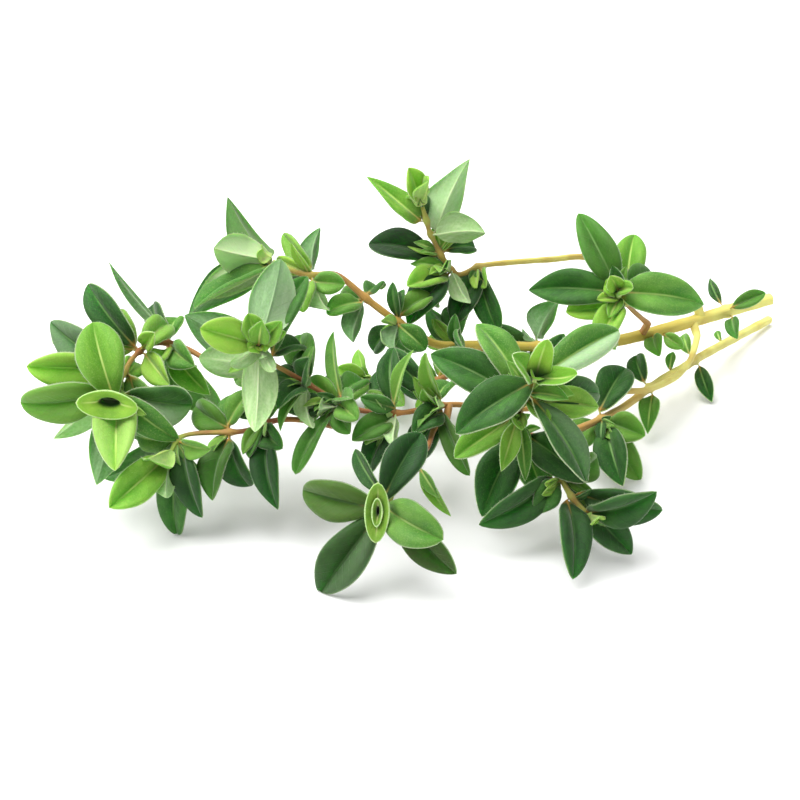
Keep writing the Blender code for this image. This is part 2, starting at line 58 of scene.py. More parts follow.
# A sprig has its route, its radius at the foot and at the tip, the leaves of its tip and its whorls.
# A whorl is how far along it stands, then its leaves: kind, heading, rise, length and width.
sprigs = {
    "centre": {
        "route": ((56, 54, 0.9), (50, 46, 2.2), (44, 37.5, 3.8), (40.5, 32, 4.8), (38.3, 29.2, 5.2),
                  (35.2, 24.6, 5.8), (30, 16.5, 6.8), (23, 8, 8.5), (18, 2.5, 11), (15.5, 0, 14),
                  (15.5, -3, 18.5), (16, -5.5, 21.5), (17, -6.5, 24.5)),
        "radius": (0.62, 0.34),
        "tip": (("young", -35, 25, 6.2, 3.2), ("young", -55, 68, 6.6, 3.4), ("young", -145, 53, 5.8, 3.4),
                ("broad", 34, 15, 13.4, 5.2), ("dark", -163, -28, 12.4, 6.2)),
        "whorls": (
            (80.0, ("broad", 137, 43, 11.2, 4.8), ("dark", -37, -42, 13.4, 4.6)),
            (78.0, ("dark", 162, 24, 13.4, 5.8), ("broad", 4, -8, 10.0, 4.8), ("dark", 26, 3, 12.0, 4.6),
             ("young", 27, -39, 6.6, 3.4)),
            (73.6, ("young", -144, -16, 10.6, 4.4), ("narrow", -111, -34, 8.4, 2.8),
             ("narrow", -83, -37, 9.0, 2.2), ("dark", 45, 50, 12.0, 4.0)),
            (68.1, ("dark", -129, -40, 12.4, 6.0), ("dark", -45, -21, 11.4, 5.6),
             ("broad", -59, -52, 9.2, 4.6), ("dark", 150, 10, 7.0, 4.0)),
            (50.1, ("dark", -78, -24, 10.8, 4.8), ("dark", -40, 4, 7.0, 4.6), ("dark", 65, 22, 9.0, 5.2),
             ("broad", -150, -20, 8.0, 4.6), ("dark", -44, -43, 10.0, 4.8)),
            (36.5, ("narrow", -102, -25, 7.4, 3.2), ("dark", 105, 24, 6.0, 3.4)),
            (23.0, ("dark", -78, -27, 7.0, 2.6), ("narrow", 100, 20, 5.0, 2.4)),
        ),
    },
    "front": {
        "route": ((6, 2, 13.4), (4.5, 1, 13.0), (3.5, -3, 12.5), (0.5, -9.5, 12), (-2, -14.5, 11),
                  (-3, -16, 11)),
        "radius": (0.45, 0.33),
        "tip": (("young", -16, 72, 5.0, 3.6), ("young", -90, -9, 5.0, 3.6), ("broad", 146, 1, 11.2, 5.8),
                ("broad", -31, -3, 9.8, 6.2)),
        "whorls": (
            (19.6, ("broad", -151, -50, 14.0, 6.2), ("dark", 54, 41, 11.0, 5.2)),
            (17.5, ("dark", -36, -42, 12.8, 5.0), ("narrow", 120, 19, 9.0, 2.6)),
            (10.0, ("narrow", -53, -29, 5.6, 1.8), ("narrow", -41, -45, 8.2, 2.0)),
        ),
    },
    "left": {
        "route": ((-8, 4.0, 16.2), (-13, 5.5, 16.2), (-18.5, 7, 16), (-24, 11, 16.5), (-29, 14, 18),
                  (-33, 12.5, 19.5), (-35.5, 7, 20), (-37, 1, 18.5), (-37, -1, 18.5)),
        "radius": (0.5, 0.33),
        "tip": (("young", -141, 15, 5.6, 5.0), ("young", -31, 14, 5.2, 5.0), ("broad", 118, 53, 11.0, 6.6),
                ("young", -85, -31, 9.6, 6.0)),
        "whorls": (
            (41.0, ("broad", -178, -10, 12.8, 6.0), ("dark", 21, -19, 11.2, 6.2),
             ("grey", -112, -62, 12.4, 5.6), ("broad", 29, -61, 8.8, 4.6), ("dark", -23, -39, 10.2, 4.4)),
            (37.0, ("dark", 155, 22, 12.4, 5.2), ("pale", -146, -36, 12.8, 4.8),
             ("young", -168, 8, 12.8, 5.2), ("broad", -37, -48, 11.6, 6.0), ("dark", 50, -54, 8.0, 4.2),
             ("broad", 138, -21, 8.0, 4.4), ("young", 76, -3, 6.0, 3.6)),
            (32.0, ("dark", 149, 43, 11.4, 4.8), ("young", 115, 27, 5.0, 3.0), ("young", 176, 6, 12.0, 4.6),
             ("broad", 65, 3, 7.0, 4.4), ("young", -60, -12, 7.6, 4.0), ("broad", 119, 15, 7.0, 4.2),
             ("young", -55, 47, 5.4, 2.8)),
            (26.0, ("grey", 155, 47, 13.8, 1.8), ("narrow", -39, -36, 9.0, 4.0),
             ("grey", -26, -46, 12.0, 5.6), ("young", -115, 0, 7.0, 4.2), ("broad", 74, 14, 5.4, 3.8),
             ("broad", -60, 0, 6.8, 4.2), ("dark", 45, -50, 7.6, 4.4), ("dark", 111, 13, 9.6, 3.8)),
        ),
    },
    "middle": {
        "route": ((42.8, 35.3, 8.3), (42.3, 33.3, 7.6), (41.2, 30.2, 6.8), (38.8, 26.4, 6.4),
                  (34.6, 21.6, 7.2), (31, 18.6, 8.6), (24.5, 14, 10), (16, 8, 12), (6.5, 4, 15),
                  (0, 1, 15.5), (-6.5, 1.5, 16), (-13, 2, 20), (-17, 1.5, 23), (-18, 0, 26),
                  (-18, -1.5, 27)),
        "radius": (0.55, 0.35),
        "tip": (("young", -165, 74, 4.8, 3.2), ("young", -60, 76, 4.8, 3.0), ("young", -158, 28, 8.6, 4.8),
                ("young", -27, 50, 5.6, 3.2)),
        "whorls": (
            (81.8, ("pale", 72, 37, 12.0, 6.4), ("pale", -90, -40, 12.0, 5.0)),
            (77.3, ("grey", 156, 21, 12.8, 6.4), ("pale", -155, 20, 10.4, 4.8), ("dark", 64, 44, 12.6, 4.0),
             ("broad", 166, -38, 6.4, 3.8), ("dark", 50, -8, 7.0, 4.0)),
            (71.3, ("broad", 105, 23, 9.0, 4.8), ("pale", -83, -31, 7.0, 3.0), ("dark", 95, 25, 5.0, 3.2),
             ("narrow", -120, -28, 8.0, 2.4), ("dark", -128, 1, 6.5, 4.2), ("dark", -99, 60, 6.4, 3.6),
             ("dark", 142, -6, 6.4, 3.8), ("dark", 72, -70, 6.4, 3.8)),
            (66.3, ("dark", -120, -23, 11.8, 2.8), ("dark", -74, -23, 5.4, 3.2),
             ("narrow", 98, 29, 11.4, 2.4), ("pale", -70, 35, 5.5, 3.0), ("pale", -122, 12, 5.8, 2.8),
             ("dark", -156, 6, 7.2, 3.6), ("dark", 54, 3, 6.4, 4.0), ("broad", 130, 3, 6.4, 3.6),
             ("broad", -60, 3, 6.0, 3.6)),
            (58.8, ("narrow", 42, 68, 8.8, 2.2), ("pale", -93, -18, 6.4, 2.6),
             ("young", -137, -28, 5.8, 3.4), ("dark", 116, 18, 8.0, 3.6), ("dark", 95, 48, 9.0, 3.6),
             ("dark", -143, -52, 8.8, 4.0), ("dark", -165, 26, 5.4, 2.6), ("dark", -158, -11, 6.6, 4.0),
             ("dark", 133, 7, 5.4, 3.6), ("dark", 164, -65, 5.6, 3.6)),
            (52.3, ("dark", -84, -41, 10.6, 3.0), ("narrow", -152, 70, 9.0, 2.6),
             ("dark", 165, 26, 10.4, 4.0), ("dark", -135, -5, 6.0, 4.2), ("dark", -151, -65, 8.4, 4.8),
             ("narrow", -100, 25, 5.6, 2.6), ("broad", 64, 3, 5.8, 3.8), ("dark", 50, -57, 6.6, 4.0)),
        ),
    },
    "lower_left": {
        "route": ((-8.5, -0.5, 14.4), (-13, 1, 14.4), (-16.5, 1.5, 14), (-20.5, 0.5, 13), (-28, -0.5, 13),
                  (-30, -2.5, 11.5)),
        "radius": (0.45, 0.33),
        "tip": (("young", -124, -10, 11.6, 5.4), ("pale", -88, -25, 6.4, 3.4),
                ("young", -120, 23, 6.4, 4.2)),
        "whorls": (
            (21.5, ("dark", -66, -50, 10.6, 4.4), ("broad", -108, -68, 13.2, 4.8),
             ("grey", -174, -34, 11.4, 5.2), ("narrow", -41, 9, 6.4, 3.2), ("broad", 130, -12, 6.6, 4.0)),
            (14.5, ("dark", -108, -37, 9.4, 5.0), ("dark", -30, -70, 8.2, 4.8), ("dark", 134, 4, 8.0, 4.4),
             ("broad", 80, 24, 6.4, 3.8), ("broad", 42, 28, 6.4, 3.8)),
            (9.5, ("dark", -87, -35, 12.0, 4.4), ("dark", -70, -22, 6.0, 3.8), ("pale", -80, 25, 5.0, 3.0),
             ("dark", 150, 20, 6.4, 4.0), ("dark", 67, 1, 6.0, 3.8)),
        ),
    },
    "lower_right": {
        "route": ((19.5, 2.5, 7.6), (20, -1, 10), (20.5, -4.5, 10), (22, -8, 8.5), (24, -10, 7)),
        "radius": (0.45, 0.33),
        "tip": (("pale", -22, 28, 4.6, 2.8), ("young", -65, 30, 4.0, 2.4), ("dark", -14, 22, 10.2, 5.2)),
        "whorls": (
            (12.4, ("dark", -18, -8, 11.8, 5.0), ("dark", -28, -29, 11.0, 4.8),
             ("broad", -83, -31, 11.4, 5.0)),
            (9.0, ("dark", -147, -16, 12.6, 5.2), ("dark", 40, 5, 6.6, 4.2), ("dark", -118, -23, 6.6, 3.8)),
        ),
    },
    "upper_right": {
        "route": ((35, 29.9, 13.2), (34, 29, 14.5), (31.5, 25.5, 18.5), (30, 22.5, 22)),
        "radius": (0.45, 0.33),
        "tip": (("young", -117, 53, 4.0, 2.6), ("young", -60, 38, 4.0, 2.6), ("dark", 162, -6, 13.0, 5.4),
                ("broad", 4, -8, 12.4, 6.6)),
        "whorls": (
            (11.5, ("dark", 138, 52, 12.7, 5.0), ("young", -114, -21, 8.6, 4.4), ("dark", 49, 8, 7.0, 4.0)),
            (8.5, ("broad", 77, 36, 11.2, 5.0), ("young", -152, 10, 9.2, 4.6)),
        ),
    },
    "upper_middle": {
        "route": ((42.6, 38.4, 12.9), (39, 38.5, 14.2), (34.5, 38, 16.4), (27, 36, 20.5), (21, 32.5, 22),
                  (14.5, 28.5, 23.5), (11, 26.5, 24), (8, 24, 24), (6, 23.5, 26.5), (5, 23.5, 28.5),
                  (4, 23, 31), (3.5, 23, 33), (3, 23.5, 34.5)),
        "radius": (0.6, 0.33),
        "tip": (("young", -144, 71, 5.6, 3.6), ("young", -57, 75, 5.6, 3.6)),
        "whorls": (
            (50.6, ("young", 160, 38, 10.0, 3.6), ("dark", 105, 15, 6.4, 3.2)),
            (48.4, ("pale", 42, 56, 11.5, 6.4), ("pale", -23, 15, 8.4, 5.2)),
            (44.8, ("dark", 161, 4, 10.6, 4.8), ("dark", 30, -6, 5.8, 3.6)),
            (42.0, ("young", -141, 7, 8.0, 4.4), ("dark", -132, -25, 10.0, 5.2),
             ("pale", -60, -34, 6.0, 3.0), ("dark", 120, -15, 8.0, 4.2), ("dark", 121, -66, 8.0, 4.2)),
            (37.0, ("dark", -117, -29, 9.2, 4.6), ("dark", -75, -42, 9.8, 3.8),
             ("broad", 171, -60, 6.4, 3.8), ("young", -88, -10, 5.0, 3.2)),
        ),
    },
    "upper_left": {
        "route": ((54.5, 45, 9.2), (50.5, 43, 9.1), (43.5, 38, 9.6), (35.5, 32, 10.5), (28, 26.5, 11.8),
                  (19.5, 22, 13.8), (11, 18.5, 16), (5, 16, 17.5), (0, 15.5, 21), (-4, 16, 24),
                  (-8.5, 17, 27.5), (-12.5, 16, 28), (-17, 17, 29.5)),
        "radius": (0.9, 0.35),
        "tip": (("grey", 122, 24, 11.6, 5.2), ("pale", -147, 24, 9.4, 5.8), ("young", -141, -12, 12.4, 4.8),
                ("pale", -140, -14, 10.6, 5.0), ("grey", -154, -34, 12.8, 5.6)),
        "whorls": (
            (79.0, ("young", 128, 28, 7.8, 3.2), ("grey", 98, 30, 8.4, 3.2), ("pale", -67, -24, 6.4, 4.2),
             ("broad", -106, -17, 6.6, 3.8), ("broad", -33, -24, 5.2, 3.4)),
            (70.5, ("broad", -150, 2, 6.0, 3.8), ("grey", -106, -33, 7.2, 3.6), ("dark", 60, -10, 5.0, 3.4),
             ("broad", 137, -22, 6.4, 3.8)),
            (65.0, ("grey", -93, -15, 6.2, 4.2), ("dark", 38, 1, 7.4, 4.4), ("broad", -30, -30, 5.4, 3.6),
             ("dark", 174, -54, 6.0, 3.8), ("grey", 0, -45, 5.4, 3.6)),
            (55.0, ("dark", -100, 25, 7.5, 4.6), ("dark", 80, 20, 8.0, 4.6), ("grey", 150, 40, 7.0, 4.0)),
            (43.0, ("grey", 58, 33, 7.6, 4.6), ("dark", -140, -14, 7.5, 4.4), ("dark", 162, 0, 8.0, 4.4)),
            (8.0, ("dark", 106, 23, 7.0, 1.8), ("dark", 10, 22, 6.2, 2.6), ("dark", -89, -13, 5.4, 2.6)),
        ),
    },
    "back": {
        "route": ((10.5, 21.0, 13.2), (8.5, 23, 10), (4, 26, 5.5), (0, 28, 4), (-4, 29, 4.4)),
        "radius": (0.45, 0.33),
        "tip": (("young", -160, 30, 5.0, 3.0), ("young", 110, 35, 5.0, 3.0), ("dark", 150, -35, 9.5, 4.6),
                ("dark", -150, -40, 8.5, 4.4)),
        "whorls": (
            (15.0, ("dark", 100, -20, 9.0, 4.6), ("broad", -95, 15, 8.5, 4.4)),
            (9.5, ("broad", 60, 20, 8.0, 4.4), ("dark", -130, 25, 8.0, 4.2)),
        ),
    },
}

# The stem that each side stem grows from.
forksFrom = {
    "front": "middle", "left": "middle", "lower_left": "middle", "middle": "upper_left",
    "lower_right": "centre", "upper_right": "upper_left", "upper_middle": "upper_left", "back": "upper_left",
}

cameraStand = {"away": 330, "height": 18, "tilt": 30, "lens": 114.2}


def makeCamera():
    data = bpy.data.cameras.new("camera")
    data.sensor_width = 36
    data.lens = cameraStand["lens"]
    camera = bpy.data.objects.new("camera", data)
    bpy.context.scene.collection.objects.link(camera)
    tilt = math.radians(cameraStand["tilt"])
    target = Vector((0, 0, cameraStand["height"])) + datum
    away = Vector((0, -math.cos(tilt), math.sin(tilt))) * cameraStand["away"]
    camera.location = (target + away) * mm
    camera.rotation_euler = (math.pi / 2 - tilt, 0, 0)
    bpy.context.scene.camera = camera


# A node socket that can stand in an expression of numbers.
class Wire:
    def __init__(self, shader, socket):
        self.shader = shader
        self.socket = socket

    def __add__(self, other):
        return self.shader.math("ADD", self, other)

    def __radd__(self, other):
        return self.shader.math("ADD", other, self)

    def __sub__(self, other):
        return self.shader.math("SUBTRACT", self, other)

    def __rsub__(self, other):
        return self.shader.math("SUBTRACT", other, self)

    def __mul__(self, other):
        return self.shader.math("MULTIPLY", self, other)

    def __rmul__(self, other):
        return self.shader.math("MULTIPLY", other, self)

    def __truediv__(self, other):
        return self.shader.math("DIVIDE", self, other)

    def __abs__(self):
        return self.shader.math("ABSOLUTE", self)

    # 0 up to low and 1 from high on, smooth between them; the other way round if low is above high
    def rise(self, low, high):
        if low > high:
            return 1 - self.rise(high, low)
        return self.shader.add("ShaderNodeMapRange", {"interpolation_type": "SMOOTHSTEP"},
                               {"Value": self, "From Min": low, "From Max": high})


class Shader:
    def __init__(self, name):
        self.material = bpy.data.materials.new(name)
        self.material.use_nodes = True
        self.nodes = self.material.node_tree.nodes
        self.links = self.material.node_tree.links
        self.surface = self.nodes["Principled BSDF"]

    def add(self, kind, settings=None, inputs=None, output=0):
        node = self.nodes.new(kind)
        for name, value in (settings or {}).items():
            setattr(node, name, value)
        for name, value in (inputs or {}).items():
            self.put(node.inputs[name], value)
        return Wire(self, node.outputs[output])

    def put(self, socket, value):
        if isinstance(value, Wire):
            self.links.new(value.socket, socket)
        elif isinstance(value, tuple) and socket.type == "RGBA":
            socket.default_value = (*value[:3], 1.0)
        else:
            socket.default_value = value

    def math(self, operation, *values):
        return self.add("ShaderNodeMath", {"operation": operation}, dict(enumerate(values)))

    def mix(self, share, first, second):
        return self.add("ShaderNodeMix", {"data_type": "RGBA"}, {0: share, 6: first, 7: second}, output=2)

    def scaled(self, vector, by):
        return self.add("ShaderNodeVectorMath", {"operation": "MULTIPLY"}, {0: vector, 1: by})

    def attribute(self, name):
        return self.add("ShaderNodeAttribute", {"attribute_name": name}, output="Vector")

    def parts(self, vector):
        node = self.add("ShaderNodeSeparateXYZ", inputs={0: vector}).socket.node
        return [Wire(self, node.outputs[k]) for k in range(3)]

    def noise(self, vector, scale, detail=2.0):
        return self.add("ShaderNodeTexNoise", inputs={"Vector": vector, "Scale": scale, "Detail": detail})

    def set(self, name, value):
        self.put(self.surface.inputs[name], value)

    def setAll(self, values):
        for name, value in values.items():
            self.set(name, value)

    def bump(self, strength, distance, height):
        inputs = {"Strength": strength, "Distance": distance, "Height": height}
        self.set("Normal", self.add("ShaderNodeBump", inputs=inputs))


# Leaf finishes. Colours are linear: deep and light on top, vein, under side, and how strongly painted shade
# darkens the base of the blade, as in the hollow of a crown, where it is painted.
leafFinish = {
    "broad": {"deep": (0.050, 0.165, 0.020), "light": (0.140, 0.310, 0.042), "vein": (0.42, 0.58, 0.17),
              "under": (0.27, 0.42, 0.16), "specks": 0.30},
    "dark": {"deep": (0.012, 0.060, 0.007), "light": (0.050, 0.165, 0.019), "vein": (0.17, 0.31, 0.09),
             "under": (0.11, 0.21, 0.065), "specks": 0.22},
    # the dark finish painted darker still: painted shade for leaves in shadow
    "deep": {"deep": (0.007, 0.040, 0.005), "light": (0.024, 0.090, 0.011), "vein": (0.07, 0.16, 0.04),
             "under": (0.035, 0.090, 0.022), "specks": 0.08},
    "young": {"deep": (0.110, 0.275, 0.020), "light": (0.240, 0.430, 0.050), "vein": (0.56, 0.70, 0.20),
              "under": (0.28, 0.46, 0.12), "specks": 0.22, "hollowShade": 0.3},
    "cup": {"deep": (0.130, 0.310, 0.018), "light": (0.270, 0.480, 0.044), "vein": (0.56, 0.70, 0.20),
            "under": (0.34, 0.52, 0.14), "specks": 0.15, "hollowShade": 0.95},
    "narrow": {"deep": (0.070, 0.200, 0.024), "light": (0.180, 0.350, 0.048), "vein": (0.44, 0.60, 0.18),
               "under": (0.28, 0.44, 0.15), "specks": 0.18},
    "pale": {"deep": (0.070, 0.200, 0.030), "light": (0.170, 0.340, 0.065), "vein": (0.58, 0.70, 0.40),
             "under": (0.29, 0.44, 0.19), "specks": 0.30},
    # a brighter copy of the pale finish: painted light on a leaf that lies in shade
    "palePaintedLight": {"deep": (0.070, 0.200, 0.030), "light": (0.34, 0.52, 0.14), "vein": (0.66, 0.76, 0.44),
               "under": (0.52, 0.68, 0.32), "specks": 0.30},
    "grey": {"deep": (0.045, 0.150, 0.030), "light": (0.120, 0.260, 0.070), "vein": (0.27, 0.40, 0.21),
             "under": (0.115, 0.215, 0.085), "specks": 0.30},
}
# Some of these colours are painted light: the painted shade of a hollow, the painted sheen of a pale half
# and the factor for painted shade; the rim is the pale hairy margin with a painted glow.
leafSurface = {"roughness": 0.58, "rim": (0.60, 0.76, 0.40), "rimWidth": 0.13, "midribWidth": 0.09,
               "blush": (0.50, 0.22, 0.03), "bloom": (0.42, 0.56, 0.34), "warm": (0.26, 0.38, 0.02),
               "hollowShade": (0.004, 0.04, 0.006), "veinSpacing": 1.5, "paintedShadeFactor": (0.3, 0.3, 0.3), "relief": 0.9,
               "reliefDepth": 0.00014}
leafShader = {"Subsurface Weight": 0.4, "Subsurface Radius": (0.4, 1.0, 0.2), "Subsurface Scale": 0.0006,
              "Sheen Weight": 0.32, "Sheen Roughness": 0.35, "Sheen Tint": (0.9, 1.0, 0.8),
              "Specular IOR Level": 0.3}


def leafMaterial(kind):
    s = Shader("leaf_" + kind)
    look = leafFinish[kind]
    place = s.attribute("blade")
    across, along, edge = s.parts(place)
    upper, tint, share = s.parts(s.attribute("look"))
    # painted light: the painted sheen of each half, the rim share and the painted shade
    bloom, rimmed, shade = s.parts(s.attribute("bloom"))
    patches = s.noise(place, 0.35, 3.0)
    grain = s.noise(place, 2.6, 2.0)
    fur = s.noise(place, 6.5, 2.0)
    streaks = s.noise(s.scaled(place, (1.8, 0.25, 0.0)), 1.0, 3.0)
    base = s.mix((patches + tint * 0.35 - 0.05).rise(0.2, 0.8), look["deep"], look["light"])
    base = s.mix(grain.rise(0.45, 0.75) * 0.2, base, look["light"])
    base = s.mix(tint.rise(0.2, 1.0) * 0.22, base, leafSurface["warm"])
    base = s.mix(fur.rise(0.5, 0.75) * look["specks"], base, look["vein"])
    base = s.mix(streaks.rise(0.45, 0.75) * 0.25, base, look["light"])
    phase = (along - abs(across) * 1.15) / leafSurface["veinSpacing"]
    stripe = abs(s.math("FRACT", phase) - 0.5)
    sideVein = stripe.rise(0.42, 0.5) * abs(across).rise(0.1, 0.5) * edge.rise(0.1, 0.8)
    midribWidth = leafSurface["midribWidth"]
    midrib = abs(across).rise(midribWidth * 2.2, midribWidth * 0.4) * share.rise(1.0, 0.5)
    ribColour = s.mix(share.rise(0.28, 0.02) * 0.6, look["vein"], leafSurface["blush"])
    base = s.mix(midrib * 0.8, base, ribColour)
    base = s.mix(share.rise(0.09, 0.0) * 0.5, base, leafSurface["blush"])
    # painted shade: the blade is painted darker towards its base, as if shaded in the hollow of a crown or
    # bowl
    if "hollowShade" in look:
        dark = share.rise(0.42, 0.05) * edge.rise(0.0, 0.3) * look["hollowShade"]
        base = s.mix(dark, base, leafSurface["hollowShade"])
    under = s.mix(grain.rise(0.3, 0.7) * 0.25, look["under"], look["vein"])
    under = s.mix(streaks.rise(0.45, 0.7) * 0.4, under, look["vein"])
    under = s.mix(streaks.rise(0.45, 0.2) * 0.35, under, look["light"])
    under = s.mix(sideVein * 0.15, under, look["vein"])
    under = s.mix(midrib * 0.8, under, look["vein"])
    colour = s.mix(upper, under, base)
    # painted sheen: one half of the leaf painted paler where the light strikes along it
    colour = s.mix(bloom * (0.7 + grain * 0.3), colour, leafSurface["bloom"])
    # painted shade: the colour darkened by the leaf's shade share
    colour = s.mix(shade, colour, s.scaled(colour, leafSurface["paintedShadeFactor"]))
    # the pale margin of hairs, partly painted: a glow where the backlight catches the hairs
    rim = edge.rise(leafSurface["rimWidth"], leafSurface["rimWidth"] * 0.2) * fur.rise(0.2, 0.55)
    colour = s.mix(rim * rimmed, colour, leafSurface["rim"])
    s.set("Base Color", colour)
    s.set("Roughness", leafSurface["roughness"] + (1 - upper) * 0.25 + grain * 0.15)
    s.setAll(leafShader)
    height = patches * 0.25 + grain * 0.3 + fur * 0.25 - sideVein * 0.2 - midrib * 0.8
    s.bump(leafSurface["relief"], leafSurface["reliefDepth"], height + streaks * 0.4)
    return s.material


stemFinish = {"red": (0.27, 0.080, 0.024), "orange": (0.42, 0.175, 0.040), "gold": (0.52, 0.40, 0.055),
              "tan": (0.40, 0.22, 0.06), "straw": (0.74, 0.72, 0.20), "green": (0.30, 0.42, 0.06),
              "wood": (0.70, 0.62, 0.34), "pith": (0.46, 0.40, 0.18)}
stemShader = {"Sheen Weight": 0.15, "Subsurface Weight": 0.2, "Subsurface Radius": (1.0, 0.6, 0.2),
              "Subsurface Scale": 0.0005}
stemRelief = {"bark": (0.6, 0.00012), "cut": (0.4, 0.0001)}    # strength and depth


def stemMaterial():
    s = Shader("stem_bark")
    along, sideways, forwards = s.parts(s.attribute("stalk"))
    gold, straw, fresh = s.parts(s.attribute("bark"))
    place = s.add("ShaderNodeTexCoord", output="Object")
    fibreAt = s.add("ShaderNodeCombineXYZ", inputs={0: along * 0.15, 1: sideways * 2.2, 2: forwards * 2.2})
    fibre = s.noise(fibreAt, 1.6, 3.0)
    blotch = s.noise(place, 240.0, 2.0)
    colour = s.mix(blotch.rise(0.3, 0.7), stemFinish["red"], stemFinish["orange"])
    colour = s.mix(fresh * blotch.rise(0.25, 0.6), colour, stemFinish["green"])
    woody = s.mix(blotch.rise(0.55, 0.8) * 0.6, stemFinish["gold"], stemFinish["tan"])
    colour = s.mix(gold, colour, woody)
    colour = s.mix(straw * blotch.rise(0.85, 0.35), colour, stemFinish["straw"])
    colour = s.mix(fibre.rise(0.5, 0.8) * 0.2, colour, stemFinish["straw"])
    s.set("Base Color", colour)
    s.set("Roughness", 0.55 + fibre * 0.2)
    s.setAll(stemShader)
    s.bump(*stemRelief["bark"], fibre + blotch * 0.3)
    return s.material


def cutMaterial():
    s = Shader("stem_cut")
    place = s.add("ShaderNodeTexCoord", output="Object")
    grain = s.noise(place, 2500.0, 3.0)
    colour = s.mix(grain.rise(0.3, 0.7), stemFinish["pith"], stemFinish["wood"])
    s.set("Base Color", colour)
    s.set("Roughness", 0.7)
    s.bump(*stemRelief["cut"], grain)
    return s.material


def smoothRoute(points):
    knots = [Vector(p) for p in points]
    padded = [2 * knots[0] - knots[1]] + knots + [2 * knots[-1] - knots[-2]]
    curve = []
    for i in range(len(knots) - 1):
        a, b, c, d = padded[i:i + 4]
        for k in range(curveStep):
            t = k / curveStep
            curve.append(0.5 * (2 * b + (c - a) * t + (2 * a - 5 * b + 4 * c - d) * t ** 2
                                + (3 * b - a - 3 * c + d) * t ** 3))
    curve.append(knots[-1])
    return curve


# A stem's centre line, measured along its length.
class Stem:
    def __init__(self, route, radius):
        self.curve = [p + datum for p in smoothRoute(route)]
        self.along = [0.0]
        for a, b in zip(self.curve, self.curve[1:]):
            self.along.append(self.along[-1] + (b - a).length)
        self.length = self.along[-1]
        self.radii = radius

    # The line runs straight on past both its ends.
    def point(self, distance):
        i = 1
        while i < len(self.along) - 1 and self.along[i] < distance:
            i += 1
        share = (distance - self.along[i - 1]) / (self.along[i] - self.along[i - 1])
        return self.curve[i - 1] + (self.curve[i] - self.curve[i - 1]) * share

    def tangent(self, distance):
        return (self.point(distance + tangentReach) - self.point(distance - tangentReach)).normalized()

    def radius(self, distance):
        share = max(0.0, min(1.0, distance / self.length))
        return self.radii[0] + (self.radii[1] - self.radii[0]) * share ** stemTaper

    def nearest(self, place):
        k = min(range(len(self.curve)), key=lambda i: (self.curve[i] - place).length)
        return self.along[k]


stems = {name: Stem(sprig["route"], sprig["radius"]) for name, sprig in sprigs.items()}

stemShape = {"sides": 20, "step": 0.5, "swell": 0.22, "swellLength": 0.55, "square": 0.06, "flare": 0.45,
             "flareLength": 1.6, "flareFrom": -0.6, "wobble": 0.05, "waves": (1.3, 0.43), "fresh": 7.0,
             "footBack": 0.8, "lead": (0.0, 0.25, 0.5, 0.75), "goldFrom": 0.42, "goldOver": 0.2}
# How far along a stem its bark is golden, and straw coloured.
goldUntil = {"upper_left": 68.0, "upper_middle": 40.0}
strawUntil = {"centre": 42.0, "upper_left": 16.0, "upper_middle": 36.0, "middle": 19.0}
# The bark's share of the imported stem's radius.
stemSlim = {"front": 0.75, "middle": 0.8, "upper_right": 0.8, "upper_middle": 0.85, "lower_left": 0.85,
            "left": 0.85}


# Collects points, faces, and a few numbers for each point, and makes one mesh object of them.
class Heap:
    def __init__(self):
        self.points = []
        self.faces = []
        self.slots = []
        self.notes = {}
        self.materials = []
        self.count = 0

    def slotOf(self, material):
        if material not in self.materials:
            self.materials.append(material)
        return self.materials.index(material)

    def join(self, points, faces, material, **notes):
        start = self.count
        self.points.append(np.asarray(points, float))
        self.count += len(points)
        self.faces += [tuple(start + k for k in face) for face in faces]
        self.slots += [self.slotOf(material)] * len(faces)
        for name, values in notes.items():
            self.notes.setdefault(name, []).append((start, np.asarray(values, float)))

    def make(self, name):
        data = bpy.data.meshes.new(name)
        data.from_pydata((np.concatenate(self.points) * mm).tolist(), [], self.faces)
        for material in self.materials:
            data.materials.append(material)
        data.polygons.foreach_set("material_index", self.slots)
        for note, blocks in self.notes.items():
            whole = np.zeros((self.count, 3))
            for start, values in blocks:
                whole[start:start + len(values)] = values
            made = data.attributes.new(note, "FLOAT_VECTOR", "POINT")
            made.data.foreach_set("vector", whole.ravel())
        data.shade_smooth()
        data.update()
        thing = bpy.data.objects.new(name, data)
        bpy.context.scene.collection.objects.link(thing)
        return thing


def tubeFaces(rings, sides):
    faces = []
    for i in range(rings - 1):
        for k in range(sides):
            a = i * sides + k
            b = i * sides + (k + 1) % sides
            faces.append((a, b, b + sides, a + sides))
    return faces


# How golden, straw coloured and fresh green the bark is at a distance along a stem.
def barkAt(name, stem, distance):
    over = (stem.radius(distance) - stemShape["goldFrom"]) / stemShape["goldOver"]
    gold = min(1.0, max(0.0, over))
    if name in goldUntil:
        gold = max(gold, math.exp(-(max(0.0, distance) / goldUntil[name]) ** 6))
    straw = math.exp(-(max(0.0, distance) / strawUntil[name]) ** 4) if name in strawUntil else 0.0
    fresh = math.exp(-(max(0.0, stem.length - distance) / stemShape["fresh"]) ** 2)
    return gold, straw, fresh


# The bark's radius: swollen at each whorl, flared at a fork and a little uneven all along.
def barkRadius(name, stem, distance, lean):
    radius = stem.radius(distance) * stemSlim.get(name, 1.0)
    for row in sprigs[name]["whorls"]:
        radius += stemShape["swell"] * math.exp(-((distance - row[0]) / stemShape["swellLength"]) ** 2)
    if name in forksFrom:
        past = max(0.0, distance - stemShape["flareFrom"])
        radius *= 1 + stemShape["flare"] * math.exp(-past / stemShape["flareLength"])
    short, long = (math.sin(distance * w + k * 3) for w, k in zip(stemShape["waves"], lean))
    return radius * (1 + stemShape["wobble"] * short * long)


